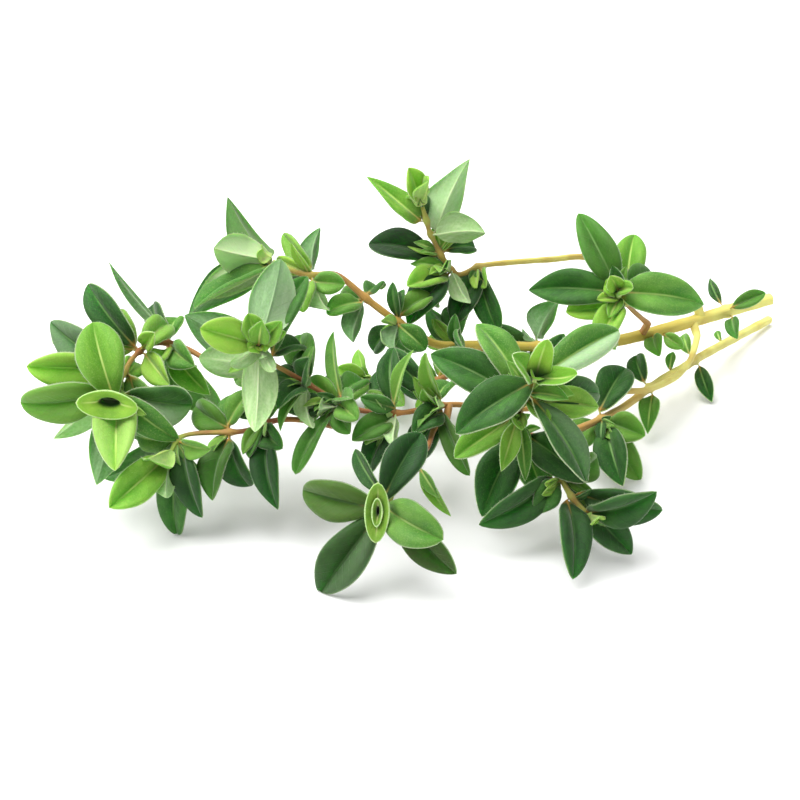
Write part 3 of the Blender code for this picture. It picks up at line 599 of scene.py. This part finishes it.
# Where the rings of a stem's bark stand, from inside its parent stem to its bud.
def barkStations(name, stem):
    count = round(stem.length / stemShape["step"])
    stations = [(stem.length * i / count, stem.point(stem.length * i / count)) for i in range(count + 1)]
    if name not in forksFrom:
        return stations
    parent = stems[forksFrom[name]]
    first = stem.point(0.0)
    start = parent.point(parent.nearest(first - stem.tangent(0.0) * stemShape["footBack"]))
    away = (first - start).length
    return [(-away * (1 - t), start.lerp(first, t)) for t in stemShape["lead"]] + stations


def stemTube(name, heap):
    stem = stems[name]
    chance = random.Random("stem " + name)
    lean = [chance.uniform(-1, 1) for _ in range(2)]
    stations = barkStations(name, stem)
    side = stem.tangent(0.0).orthogonal().normalized()
    points = []
    notes = []
    ages = []
    total = len(stations)
    sides = stemShape["sides"]
    for i, (distance, centre) in enumerate(stations):
        before = stations[max(0, i - 1)][1]
        after = stations[min(total - 1, i + 1)][1]
        axis = (after - before).normalized()
        side = (side - axis * side.dot(axis)).normalized()
        other = axis.cross(side)
        radius = barkRadius(name, stem, distance, lean)
        for k in range(sides):
            angle = 2 * math.pi * k / sides
            r = radius * (1 + stemShape["square"] * math.cos(4 * angle))
            points.append(centre + side * (r * math.cos(angle)) + other * (r * math.sin(angle)))
            notes.append((distance, math.cos(angle), math.sin(angle)))
        ages += [barkAt(name, stem, distance)] * sides
    faces = tubeFaces(total, sides)
    last = (total - 1) * sides
    faces.append(tuple(range(last, last + sides)))
    if name in forksFrom:
        faces.append(tuple(reversed(range(sides))))
    heap.join(points, faces, materials["bark"], stalk=notes, bark=ages)
    if name not in forksFrom:
        cutEnd(stem, points[:sides], heap)


# The cut end of a stem: a rim of bark, then wood, then a shallow pith. Each ring has its share of the
# radius and its depth.
cutShape = {"rings": ((1.0, 0.0), (0.9, -0.06), (0.45, -0.04), (0.25, 0.1)), "pith": 0.15}


def cutEnd(stem, rim, heap):
    centre = stem.point(0.0)
    axis = stem.tangent(0.0)
    points = []
    for share, depth in cutShape["rings"]:
        points += [centre + (p - centre) * share + axis * depth for p in rim]
    points.append(centre + axis * cutShape["pith"])
    sides = len(rim)
    rings = len(cutShape["rings"])
    faces = [tuple(reversed(f)) for f in tubeFaces(rings, sides)]
    inner = (rings - 1) * sides
    for k in range(sides):
        faces.append((inner + (k + 1) % sides, inner + k, rings * sides))
    count = len(points)
    heap.join(points, faces, materials["cut"], stalk=[(0, 0, 1)] * count, bark=[(1, 1, 0)] * count)


# How each kind of leaf grows: fold of its halves in degrees, arch of the midrib as a share of
# its length, how far it turns to the light, and the finer shape that goes with them.
leafShapes = {
    "broad": {"fold": 26, "arch": 0.08, "turn": 1.3, "cup": 0.00,
              "pillow": 0.28, "base": 0.74, "tip": 0.66, "curl": 0.08},
    "dark": {"fold": 32, "arch": 0.08, "turn": 1.6, "cup": 0.00,
             "pillow": 0.28, "base": 0.78, "tip": 0.70, "curl": 0.09},
    "young": {"fold": 30, "arch": -0.02, "turn": 0.9, "cup": 0.08,
              "pillow": 0.24, "base": 0.68, "tip": 0.66, "curl": 0.04},
    "cup": {"fold": 14, "arch": -0.12, "turn": 0.45, "cup": 0.34,
            "pillow": 0.10, "base": 0.30, "tip": 0.42, "curl": 0.10},
    "narrow": {"fold": 36, "arch": 0.05, "turn": 1.0, "cup": 0.20,
               "pillow": 0.10, "base": 0.90, "tip": 0.95, "curl": 0.03},
    "pale": {"fold": 26, "arch": 0.06, "turn": -1.6, "cup": 0.10,
             "pillow": 0.16, "base": 0.62, "tip": 0.80, "curl": 0.06},
    "grey": {"fold": 30, "arch": 0.08, "turn": -1.6, "cup": 0.10,
             "pillow": 0.16, "base": 0.74, "tip": 0.80, "curl": 0.06},
}
leafMake = {"thick": 0.26, "thinning": 0.6, "stalkWidth": 0.32, "stalkThick": 0.46, "stalkEnds": 0.25,
            "groove": 0.12, "grooveWidth": 0.22, "rib": 0.20, "ribWidth": 0.24, "roll": 0.16,
            "rollFrom": 0.8, "edgeRound": 0.12, "uneven": 0.04, "wavy": 0.10, "slim": 0.95, "buried": 0.3,
            "floor": 0.04, "floorSoft": 0.3, "smallRim": 2.2}
# What differs from leaf to leaf.
leafVary = {"base": (-0.08, 0.08), "tip": (-0.1, 0.1), "twist": (-0.25, 0.25), "bend": (-0.05, 0.05),
            "curl": (-0.03, 0.04), "wave": (0.0, 6.28), "tint": (-1, 1)}
# Rings along a leaf, and points from its midrib to its edge; a small leaf has fewer.
leafRings, smallRings = 22, 9
leafColumns = (0.0, 0.05, 0.13, 0.25, 0.4, 0.56, 0.72, 0.86, 0.95, 1.0)
smallColumns = (0.0, 0.2, 0.55, 0.85, 1.0)
# How far the outer leaves of a tip stand back from its first pair.
tipStep = 1.0
tipSteps = {("left_tip", 3): 4.6, ("front_tip", 3): 2.6, ("front_tip", 2): 1.6}


class Leaf:
    def __init__(self, kind, heading, rise, length, width):
        self.kind = kind
        self.length = length
        self.width = width
        self.shape = leafShapes[kind]
        h = math.radians(heading)
        r = math.radians(rise)
        self.aim = Vector((math.cos(h) * math.cos(r), math.sin(h) * math.cos(r), math.sin(r)))
        self.lead = None    # where the leaf heads first, if not straight for its tip
        # painted sheen: how much paler each half is painted
        self.bloom = (0.0, 0.0)    # how pale each half is
        self.rim = rimElse
        # painted shade: how much darker the leaf is painted than its kind
        self.shade = 0.0    # how much darker it is than its kind

    # Sets the leaf on the stem at a distance along it, reach outside its centre line.
    def grow(self, stem, distance, reach):
        axis = stem.tangent(distance)
        out = (self.aim - axis * self.aim.dot(axis)).normalized()
        self.stalk = stem.point(distance)
        self.root = self.stalk + out * reach
        self.length -= reach * out.dot(self.aim)
        self.axis = axis
        self.face()

    def face(self):
        light = lightFrom - self.aim * lightFrom.dot(self.aim)
        towardsTip = self.axis - self.aim * self.axis.dot(self.aim)
        self.normal = (towardsTip + light * self.shape["turn"]).normalized()
        self.side = self.aim.cross(self.normal)

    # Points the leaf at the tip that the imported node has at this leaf's length from its root,
    # or at one of the smaller sizes it may have been given there.
    def follow(self, corners):
        ways = corners - np.array(self.root)
        reach = np.linalg.norm(ways, axis=1)
        ways /= np.maximum(reach, 0.001)[:, None]
        near = ways @ np.array(self.aim) > math.cos(math.radians(followWithin))
        for size in leafSizes:
            fits = near & (np.abs(reach - self.length * size) < 0.005)
            if fits.any():
                self.aim = Vector(ways[fits][np.argmax(ways[fits] @ np.array(self.aim))])
                self.length *= size
                self.width *= size
                self.face()
                return True
        return False

    # Moves the leaf's root and keeps its tip.
    def rootAt(self, place):
        tip = self.root + self.aim * self.length
        self.root = place
        self.stalk = place - (tip - place).normalized() * leafMake["buried"]
        self.length = (tip - place).length
        self.aim = (tip - place).normalized()
        self.face()


# Places across a ring, from -1 to 1 on top and back below, and 1 on top, 0 below and 0.5 at the edges.
def ringAcross(columns):
    across = np.array([-c for c in reversed(columns[1:])] + list(columns))
    back = across[::-1][1:-1]
    upper = np.concatenate([np.ones(len(across)), np.zeros(len(back))])
    upper[0] = 0.5
    upper[len(across) - 1] = 0.5
    return np.concatenate([across, back]), upper


# The midrib's place at a share of the way along it, and which way is up there.
def midribAt(leaf, v, vary):
    aim, normal, side, root = (np.array(p) for p in (leaf.aim, leaf.normal, leaf.side, leaf.root))
    if leaf.lead:
        ahead = np.array(leaf.lead)
        way = 2 * (1 - 2 * v) * ahead + 2 * v * aim * leaf.length
        place = root + 2 * v * (1 - v) * ahead + v * v * aim * leaf.length
        return place, np.cross(side, way / np.linalg.norm(way))
    bow = leaf.shape["arch"] * 4 * v * (1 - v) - (leaf.shape["curl"] + vary["curl"]) * v ** 3
    return root + leaf.length * (aim * v + normal * bow + side * vary["bend"] * v * v), normal


def halfWidth(leaf, v, vary):
    base = leaf.shape["base"] + vary["base"]
    tip = leaf.shape["tip"] + vary["tip"]
    peak = (base / (base + tip)) ** base * (tip / (base + tip)) ** tip
    half = leafMake["slim"] * leaf.width / 2 * v ** base * (1 - v) ** tip / peak
    half *= 1 + leafMake["uneven"] * math.sin(v * 7 + vary["wave"] * 3)
    stalk = leafMake["stalkWidth"] / 2 * min(1.0, leaf.width / 4) * (1 - v) ** 0.5
    return math.hypot(half, stalk)


# How high a ring's points stand: the fold, the cup, a pillow each side, rolled edges, a groove and waves.
def ringLift(shape, u, half, v, wave):
    x = u * half
    leafy = min(1.0, v / leafMake["stalkEnds"])
    rolled = np.clip((np.abs(u) - leafMake["rollFrom"]) / (1 - leafMake["rollFrom"]), 0, 1)
    lift = math.tan(math.radians(shape["fold"])) * (np.sqrt(x * x + 0.02) - 0.14) * leafy
    lift += shape["cup"] * half * u * u * leafy
    lift += shape["pillow"] * half * 4 * (np.abs(u) * (1 - np.abs(u))) * leafy
    lift -= leafMake["roll"] * half * rolled ** 2
    lift -= leafMake["groove"] * np.exp(-(x / leafMake["grooveWidth"]) ** 2) * (1 - v) * leafy
    return lift + leafMake["wavy"] * half * u * np.sin(v * 8 + wave + np.sign(u))


# Half the leaf's thickness on either side of a ring's middle, with the midrib's rib below.
def ringBody(u, upper, half, v):
    leafy = min(1.0, v / leafMake["stalkEnds"])
    stalkMore = leafMake["stalkThick"] - leafMake["thick"]
    thick = leafMake["thick"] * (1 - leafMake["thinning"] * v) + stalkMore * (1 - leafy)
    oval = np.sqrt(np.clip(1 - u * u, 0, 1))
    flat = np.clip((1 - np.abs(u)) / leafMake["edgeRound"], 0, 1) ** 0.5
    body = thick / 2 * (oval * (1 - leafy) + flat * leafy)
    rib = leafMake["rib"] * np.exp(-(u * half / leafMake["ribWidth"]) ** 2) * (1 - v) * leafy
    offset = np.where(upper > 0.9, body, -body - rib) * (upper != 0.5)
    return offset * 0.3 if v >= 1.0 else offset


# Lays points that would dip under the floor softly on it.
def layOnFloor(ring):
    soft = leafMake["floorSoft"]
    low = ring[:, 2] < soft + leafMake["floor"]
    ring[low, 2] = leafMake["floor"] + soft * np.exp((ring[low, 2] - leafMake["floor"] - soft) / soft)


# One blade as rings of points round it, from inside the stem to the tip.
def leafBlade(leaf, chance, heap, material, small=False):
    rings = smallRings if small else leafRings
    columns = smallColumns if small else leafColumns
    u, upper = ringAcross(columns)
    vary = {name: chance.uniform(*reach) for name, reach in leafVary.items()}
    root, stalk = np.array(leaf.root), np.array(leaf.stalk)
    side, normal = np.array(leaf.side), np.array(leaf.normal)
    rims = []
    points = []
    blade = []
    look = []
    bloom = []
    stations = [-1.0, -0.5] + [k / rings for k in range(rings + 1)]
    for s in stations:
        if s < 0:
            v = 0.0
            middle = stalk + (root - stalk) * (1 + s)
        else:
            v = 0.5 * s + 0.5 * (0.5 - 0.5 * math.cos(math.pi * s))
            middle, normal = midribAt(leaf, v, vary)
        half = halfWidth(leaf, v, vary)
        turn = vary["twist"] * v
        across = side * math.cos(turn) + normal * math.sin(turn)
        up = normal * math.cos(turn) - side * math.sin(turn)
        x = u * half
        height = ringLift(leaf.shape, u, half, v, vary["wave"]) + ringBody(u, upper, half, v)
        ring = middle + np.outer(x, across) + np.outer(height, up)
        layOnFloor(ring)
        points.append(ring)
        rims.append((ring[0], ring[2 * len(columns) - 2], across, up, v))
        edge = half * (1 - np.abs(u)) * (leafMake["smallRim"] if small else 1.0)
        blade.append(np.stack([x, np.full_like(x, v * leaf.length), edge], 1))
        look.append(np.stack([upper, np.full_like(x, vary["tint"]), np.full_like(x, v)], 1))
        # painted sheen on each half, then the rim share and the painted shade
        paler = np.clip(x / 0.3, 0, 1) * leaf.bloom[1] + np.clip(-x / 0.3, 0, 1) * leaf.bloom[0]
        bloom.append(np.stack([paler, np.full_like(x, leaf.rim), np.full_like(x, leaf.shade)], 1))
    sides = len(u)
    last = (len(stations) - 1) * sides
    faces = [tuple(reversed(f)) for f in tubeFaces(len(stations), sides)]
    faces += [tuple(range(sides)), tuple(reversed(range(last, last + sides)))]
    heap.join(np.concatenate(points), faces, material, blade=np.concatenate(blade),
              look=np.concatenate(look), bloom=np.concatenate(bloom))
    if not small:
        rimHairs(leaf, rims[2:], chance, heap)


# Short hairs along both margins of a leaf, longer towards its stalk, and round the stems.
hairShape = {"each": 2.6, "length": 0.34, "radius": 0.016, "forward": (0.1, 0.8), "lift": (-0.4, 0.5),
             "sizes": (0.5, 1.1), "bright": (0.80, 0.88, 0.66), "dull": (0.45, 0.60, 0.30)}
stemHairShape = {"each": 4, "from": 1.0, "sunk": 0.96, "forward": (-0.3, 0.6), "sizes": (0.4, 0.9),
                 "radius": 0.8, "floor": 0.02}


def hairMaterial():
    s = Shader("leaf_hair")
    place = s.add("ShaderNodeTexCoord", output="Object")
    shade = s.noise(place, 400.0, 1.0)
    s.set("Base Color", s.mix(shade, hairShape["dull"], hairShape["bright"]))
    s.set("Roughness", 0.6)
    return s.material


def hair(foot, way, side, radius, heap):
    other = np.cross(way, side)
    other /= np.linalg.norm(other)
    angles = [2 * math.pi * k / 3 for k in range(3)]
    points = [foot + radius * (side * math.cos(a) + other * math.sin(a)) for a in angles]
    points.append(foot + way)
    faces = [(0, 2, 1), (0, 1, 3), (1, 2, 3), (2, 0, 3)]
    heap.join(points, faces, materials["hair"])


def rimHairs(leaf, rims, chance, heap):
    aim = np.array(leaf.aim)
    for before, after in zip(rims, rims[1:]):
        for edge, out in ((0, -1), (1, 1)):
            span = np.linalg.norm(after[edge] - before[edge])
            for _ in range(int(span * hairShape["each"] + chance.random())):
                t = chance.random()
                foot = before[edge] * (1 - t) + after[edge] * t
                forward = aim * chance.uniform(*hairShape["forward"])
                way = before[2] * out + forward + before[3] * chance.uniform(*hairShape["lift"])
                length = hairShape["length"] * chance.uniform(*hairShape["sizes"]) * (1 - 0.5 * before[4])
                way *= length / np.linalg.norm(way)
                way[2] = max(way[2], 0.0)
                hair(foot, way, before[3], hairShape["radius"], heap)


def stemHairs(stem, slim, chance, heap):
    make = stemHairShape
    for _ in range(int(stem.length * make["each"])):
        distance = chance.uniform(make["from"], stem.length)
        axis = stem.tangent(distance)
        side = axis.orthogonal().normalized()
        angle = chance.uniform(0, 2 * math.pi)
        out = side * math.cos(angle) + axis.cross(side) * math.sin(angle)
        foot = np.array(stem.point(distance) + out * stem.radius(distance) * slim * make["sunk"])
        way = np.array(out + axis * chance.uniform(*make["forward"]))
        way *= hairShape["length"] * chance.uniform(*make["sizes"]) / np.linalg.norm(way)
        if foot[2] + way[2] > make["floor"]:
            hair(foot, way, np.array(axis), hairShape["radius"] * make["radius"], heap)


# Leaves with one half painted paler, a painted sheen where the light strikes along it: (left half, right
# half).
paintedSheens = {
    ("centre_tip", 3): (0.0, 0.75), ("left_whorl_1", 1): (0.0, 0.9),
    ("front_whorl_1", 0): (0.12, 0.0), ("centre_whorl_1", 1): (0.15, 0.0),
    ("upper_left_tip", 1): (0.55, 0.4), ("upper_middle_whorl_2", 0): (0.5, 0.4),
    ("middle_whorl_1", 0): (0.5, 0.15), ("left_whorl_2", 0): (0.2, 0.2),
    ("left_tip", 3): (0.15, 0.15),
}
# Leaves painted darker than their kind, as painted shade where they lie in shadow: how much.
paintedShades = {
    ("front_whorl_2", 0): 0.8, ("front_whorl_1", 0): 0.5, ("front_tip", 2): 0.35,
    ("front_tip", 3): 0.25, ("upper_left_tip", 0): 0.35, ("upper_middle_whorl_3", 0): 0.7,
    ("left_whorl_4", 7): 0.3,
}
# Other finishes for some leaves: younger, older, deep as painted shade, and a pale copy as painted light.
finishes = {
    "deep": (("front_tip", 2), ("front_whorl_1", 0), ("front_whorl_1", 1), ("front_whorl_2", 0),
             ("lower_left_whorl_1", 0), ("lower_left_whorl_2", 0), ("lower_left_whorl_2", 1),
             ("lower_left_whorl_3", 0), ("lower_right_tip", 2), ("lower_right_whorl_1", 0),
             ("lower_right_whorl_1", 1), ("lower_right_whorl_1", 2), ("lower_right_whorl_2", 0),
             ("middle_whorl_5", 5), ("middle_whorl_6", 0), ("middle_whorl_6", 4),
             ("upper_middle_whorl_1", 1), ("upper_middle_whorl_3", 0), ("upper_middle_whorl_4", 1),
             ("upper_middle_whorl_5", 0)),
    "dark": (("centre_whorl_4", 0), ("centre_whorl_4", 1), ("front_whorl_2", 1), ("left_whorl_1", 0),
             ("left_whorl_4", 2), ("lower_left_whorl_1", 1), ("upper_left_tip", 0), ("upper_right_tip", 2)),
    "broad": (("left_whorl_1", 4), ("upper_left_tip", 2), ("upper_left_whorl_1", 0)),
    "young": (("centre_whorl_2", 1), ("centre_whorl_3", 1), ("left_tip", 2), ("left_whorl_4", 1),
              ("upper_right_whorl_2", 0)),
    "grey": (("middle_whorl_1", 0),),
    # painted light on a leaf in shade
    "palePaintedLight": (("upper_left_tip", 1),),
}
finishOf = {leaf: kind for kind, leaves in finishes.items() for leaf in leaves}
# Leaves with an outline of their own: how slowly it widens from the base and narrows to the tip.
outlines = {
    ("upper_middle_whorl_2", 0): (0.32, 1.0), ("upper_middle_whorl_1", 0): (0.45, 1.0),
    ("upper_left_tip", 1): (0.5, 0.9), ("upper_left_tip", 0): (0.45, 0.9),
    ("middle_whorl_1", 0): (0.62, 0.55), ("lower_left_whorl_3", 0): (0.8, 0.95),
    ("front_whorl_1", 0): (0.8, 0.8), ("middle_whorl_4", 0): (0.8, 0.45),
    ("left_whorl_4", 0): (0.8, 1.0), ("upper_right_tip", 2): (0.7, 0.9),
    ("upper_right_tip", 3): (0.7, 0.85), ("upper_left_whorl_6", 0): (1.0, 1.5),
    ("left_whorl_4", 7): (0.7, 1.0),
}
# The pale line round the leaves, stronger on some sprigs: pale hairs, partly a painted glow of backlit
# hairs.
rimShare = {"centre": 0.85, "left": 0.55, "front": 0.3}
rimElse = 0.15
# Whorls on the bare stems, without the small leaves.
bareWhorls = ("front_whorl_1", "front_whorl_2", "front_whorl_3", "upper_left_whorl_6", "centre_whorl_6",
              "centre_whorl_7", "left_whorl_3", "left_whorl_4", "upper_left_whorl_2", "upper_middle_whorl_1",
              "upper_middle_whorl_2")
# Single small leaves on the bare stems: how far along, then kind, heading, rise, length and width.
strayLeaves = {
    "upper_left": ((23.0, "dark", -85, -6, 5.2, 3.0), (21.0, "broad", -30, -22, 4.2, 2.4),
                   (30.0, "narrow", -100, 10, 3.4, 1.6)),
    "centre": ((30.0, "narrow", 80, 30, 3.6, 1.6), (14.0, "narrow", 100, 20, 2.6, 1.2)),
}
# The two youngest leaves of an open rosette, grown together as a bowl round a hollow painted dark as shade:
# half its length, half its width and its height, which way it opens, which way it is long, how far it is
# moved and how much painted shade darkens it.
bowls = {
    "left": {"sizes": ((4.1, 2.0, 2.3),), "facing": (-0.1, -1.0, 0.22), "along": (-1.0, 0.0, 0.06),
             "shift": (-0.4, 0.0, 0.3), "shade": 0.0},
    "front": {"sizes": ((3.9, 1.6, 2.0), (1.9, 0.7, 1.9)), "facing": (-0.1, -0.9, 0.35),
              "along": (0.0, 0.0, 1.0), "shift": (0.5, 0.0, 0.5), "shade": 0.45},
}
bowlShape = {"sides": 40, "lobe": 0.3, "roundness": 1.8, "foot": 0.3, "thick": 0.2, "rim": 0.6}
# The wall of a bowl from its foot over the rim to the hollow: share of the way out, share of the height,
# and 1 on the inside.
bowlWall = ((0.20, 0.0, 0), (0.34, 0.25, 0), (0.58, 0.55, 0), (0.82, 0.80, 0), (0.96, 0.96, 0),
            (1.0, 1.0, 0.5), (0.96, 1.0, 1), (0.82, 0.92, 1), (0.64, 0.82, 1), (0.50, 0.72, 1),
            (0.41, 0.58, 1), (0.35, 0.38, 1), (0.31, 0.12, 1))


def bowl(stem, spec, size, heap):
    long, short, height = size
    axis = np.array(Vector(spec["facing"]).normalized())
    foot = np.array(stem.point(stem.length + bowlShape["foot"]) + Vector(spec["shift"]))
    across = np.array(spec["along"]) - axis * np.dot(spec["along"], axis)
    across /= np.linalg.norm(across)
    beside = np.cross(axis, across)
    sides = bowlShape["sides"]
    angles = np.arange(sides) * 2 * math.pi / sides
    power = bowlShape["roundness"]
    reach = np.abs(np.cos(angles) / long) ** power + np.abs(np.sin(angles) / short) ** power
    reach = reach ** (-1 / power)
    lobes = 0.5 + 0.5 * np.cos(2 * angles)
    points = []
    blade = []
    look = []
    for out, up, inside in bowlWall:
        radius = reach * out - bowlShape["thick"] * (inside - 0.5)
        x = np.cos(angles) * radius
        y = np.sin(angles) * radius
        z = (height + bowlShape["lobe"] * lobes * out) * up
        points.append(foot + np.outer(x, across) + np.outer(y, beside) + np.outer(z, axis))
        blade.append(np.stack([y, np.abs(x), reach * (1 - out)], 1))
        look.append(np.stack([np.full(sides, float(inside)), np.zeros(sides), np.full(sides, up * up)], 1))
    count = len(bowlWall)
    faces = tubeFaces(count, sides)
    faces.append(tuple(reversed(range(sides))))
    faces.append(tuple(range((count - 1) * sides, count * sides)))
    # the bowl's rim share and its painted shade, with no painted sheen
    bloom = np.tile((0.0, bowlShape["rim"], spec["shade"]), (count * sides, 1))
    heap.join(np.concatenate(points), faces, materials["cup"], blade=np.concatenate(blade),
              look=np.concatenate(look), bloom=bloom)


# The crown of a tip: pairs of tiny leaves that stand up round a hollow and then spread.
crownShape = {"length": 2.6, "width": 3.0, "stand": 1.6, "hollow": 0.6, "inner": 0.5, "foot": 0.3,
              "sizes": (0.85, 1.1)}
crownSizes = {"centre": 0.8}
crownElse = 0.9


def crown(stem, size, outer, chance, heap):
    axis = stem.tangent(stem.length)
    foot = stem.point(stem.length + crownShape["foot"])
    across = (outer - axis * outer.dot(axis)).normalized()
    beside = axis.cross(across)
    for level, (spread, scale) in enumerate(((beside, 1.0), (across, crownShape["inner"]))):
        for way in (1, -1):
            out = spread * way
            big = size * scale * chance.uniform(*crownShape["sizes"])
            leaf = Leaf("cup", 0, 0, crownShape["length"] * big, crownShape["width"] * big)
            leaf.stalk = foot
            leaf.root = foot + out * crownShape["hollow"] * size * scale
            tip = axis * crownShape["stand"] * big + out * crownShape["length"] * big * 0.5
            leaf.lead = axis * crownShape["stand"] * big + out * 0.1
            leaf.length = tip.length
            leaf.aim = tip.normalized()
            leaf.normal = (axis * 0.2 - out + leaf.aim * out.dot(leaf.aim)).normalized()
            leaf.side = leaf.aim.cross(leaf.normal).normalized()
            leafBlade(leaf, chance, heap, materials["cup"], small=True)


# Small leaves that crowd in the angle between a stem and its leaves.
tuftShape = {"leaves": (2, 4), "length": (2.2, 5.6), "width": (0.34, 0.50), "along": (0.2, 1.0),
             "out": (0.3, 1.0), "beside": (-0.9, 0.9), "root": (0.1, 0.6)}


def tuft(leaf, stem, distance, kind, chance, heap):
    axis = stem.tangent(distance)
    out = (leaf.aim - axis * leaf.aim.dot(axis)).normalized()
    beside = axis.cross(out)
    for _ in range(chance.randint(*tuftShape["leaves"])):
        way = axis * chance.uniform(*tuftShape["along"]) + out * chance.uniform(*tuftShape["out"])
        way += beside * chance.uniform(*tuftShape["beside"])
        length = chance.uniform(*tuftShape["length"])
        small = Leaf(kind, 0, 0, length, length * chance.uniform(*tuftShape["width"]))
        small.aim = way.normalized()
        small.stalk = stem.point(distance)
        small.root = small.stalk + out * stem.radius(distance)
        small.root += axis * chance.uniform(*tuftShape["root"])
        small.axis = axis
        small.face()
        leafBlade(small, chance, heap, materials[kind], small=True)


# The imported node's corners, where the tips of its leaves are found.
def cornersOf(node):
    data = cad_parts[node].data
    corners = np.empty(len(data.vertices) * 3)
    data.vertices.foreach_get("co", corners)
    return corners.reshape(-1, 3) / mm


# One leaf of a tip or a whorl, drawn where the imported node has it.
def growLeaf(node, number, kind, spec, stem, distance, reach, corners):
    leaf = Leaf(kind, *spec[1:])
    leaf.bloom = paintedSheens.get((node, number), leaf.bloom)
    leaf.shade = paintedShades.get((node, number), leaf.shade)
    leaf.rim = rimShare.get(sprigOf(node), rimElse)
    if (node, number) in outlines:
        base, tip = outlines[node, number]
        leaf.shape = dict(leaf.shape, base=base, tip=tip)
    leaf.grow(stem, distance, reach)
    if not leaf.follow(corners):
        print("no tip for", node, spec)
    if node.endswith("_tip") and number > 1:
        leaf.rootAt(leaf.root - leaf.axis * tipSteps.get((node, number), tipStep))
    return leaf


def sprigOf(node):
    return node[:-4] if node.endswith("_tip") else node[:node.index("_whorl")]


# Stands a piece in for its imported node, on the bundle's one body.
def settle(piece, node, slot):
    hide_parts(node)
    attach(piece, "root")


def growLeaves(node, stem, distance, reach, leaves):
    heap = Heap()
    corners = cornersOf(node)
    atTip = node.endswith("_tip")
    sprig = sprigOf(node)
    grown = []
    for number, spec in enumerate(leaves):
        youngest = atTip and number < 2
        if youngest and sprig in bowls:
            continue    # they are the bowl
        kind = "cup" if youngest and sprig in crownSizes else spec[0]
        leaf = growLeaf(node, number, kind, spec, stem, distance, reach, corners)
        finish = finishOf.get((node, number), kind)
        leafBlade(leaf, random.Random(node + str(number)), heap, materials[finish])
        grown.append(leaf)
    if atTip and sprig in bowls:
        for size in bowls[sprig]["sizes"]:
            bowl(stem, bowls[sprig], size, heap)
    elif atTip:
        crown(stem, crownSizes.get(sprig, crownElse), grown[0].aim, random.Random(node), heap)
    elif node not in bareWhorls:
        chance = random.Random("tuft " + node)
        for leaf in grown[:2]:
            tuft(leaf, stem, distance, chance.choice(("young", "narrow", leaf.kind)), chance, heap)
    settle(heap.make(node + "_leaves"), node, "leaf_" + leaves[0][0])


materials = {kind: leafMaterial(kind) for kind in leafFinish}
materials["hair"] = hairMaterial()
materials["bark"] = stemMaterial()
materials["cut"] = cutMaterial()
print("materials made")


def growStalk(name, stem):
    heap = Heap()
    stemTube(name, heap)
    stemHairs(stem, stemSlim.get(name, 1.0), random.Random("hairs " + name), heap)
    for distance, *spec in strayLeaves.get(name, ()):
        leaf = Leaf(*spec)
        leaf.grow(stem, distance, stem.radius(distance))
        leafBlade(leaf, random.Random(name + str(spec)), heap, materials[leaf.kind])
    settle(heap.make(name + "_stalk"), name + "_stem", "stem")


def growSprigs():
    for name, sprig in sprigs.items():
        stem = stems[name]
        growStalk(name, stem)
        tipAt = stem.length + gap + budLength * tipShare
        growLeaves(name + "_tip", stem, tipAt, tipReach, sprig["tip"])
        for number, (distance, *leaves) in enumerate(sprig["whorls"], 1):
            reach = stem.radius(distance) + gap + leafRoot
            growLeaves("%s_whorl_%d" % (name, number), stem, distance, reach, leaves)
        print("grown", name)


studio = {"floor": (0.93, 0.93, 0.93), "floorSize": 6.0, "floorAt": -0.00002, "world": 0.6}
softbox = {"place": (-0.30, 0.0, 0.70), "size": 0.75, "power": 12.0}


def makeStudio():
    bpy.ops.mesh.primitive_plane_add(size=studio["floorSize"], location=(0, 0, studio["floorAt"]))
    floor = bpy.context.object
    floor.name = "floor"
    s = Shader("floor_paper")
    s.set("Base Color", studio["floor"])
    s.set("Roughness", 0.9)
    floor.data.materials.append(s.material)
    world = bpy.data.worlds.new("studio")
    world.use_nodes = True
    background = world.node_tree.nodes["Background"]
    background.inputs["Color"].default_value = (1, 1, 1, 1)
    background.inputs["Strength"].default_value = studio["world"]
    bpy.context.scene.world = world
    data = bpy.data.lights.new("top_softbox", "AREA")
    data.shape = "SQUARE"
    data.size = softbox["size"]
    data.energy = softbox["power"]
    lamp = bpy.data.objects.new("top_softbox", data)
    bpy.context.scene.collection.objects.link(lamp)
    lamp.location = softbox["place"]
    lamp.rotation_euler = (-lamp.location).to_track_quat("-Z", "Y").to_euler()
    bpy.context.scene.view_settings.view_transform = "Standard"


makeCamera()
growSprigs()
makeStudio()
print("studio and camera set")
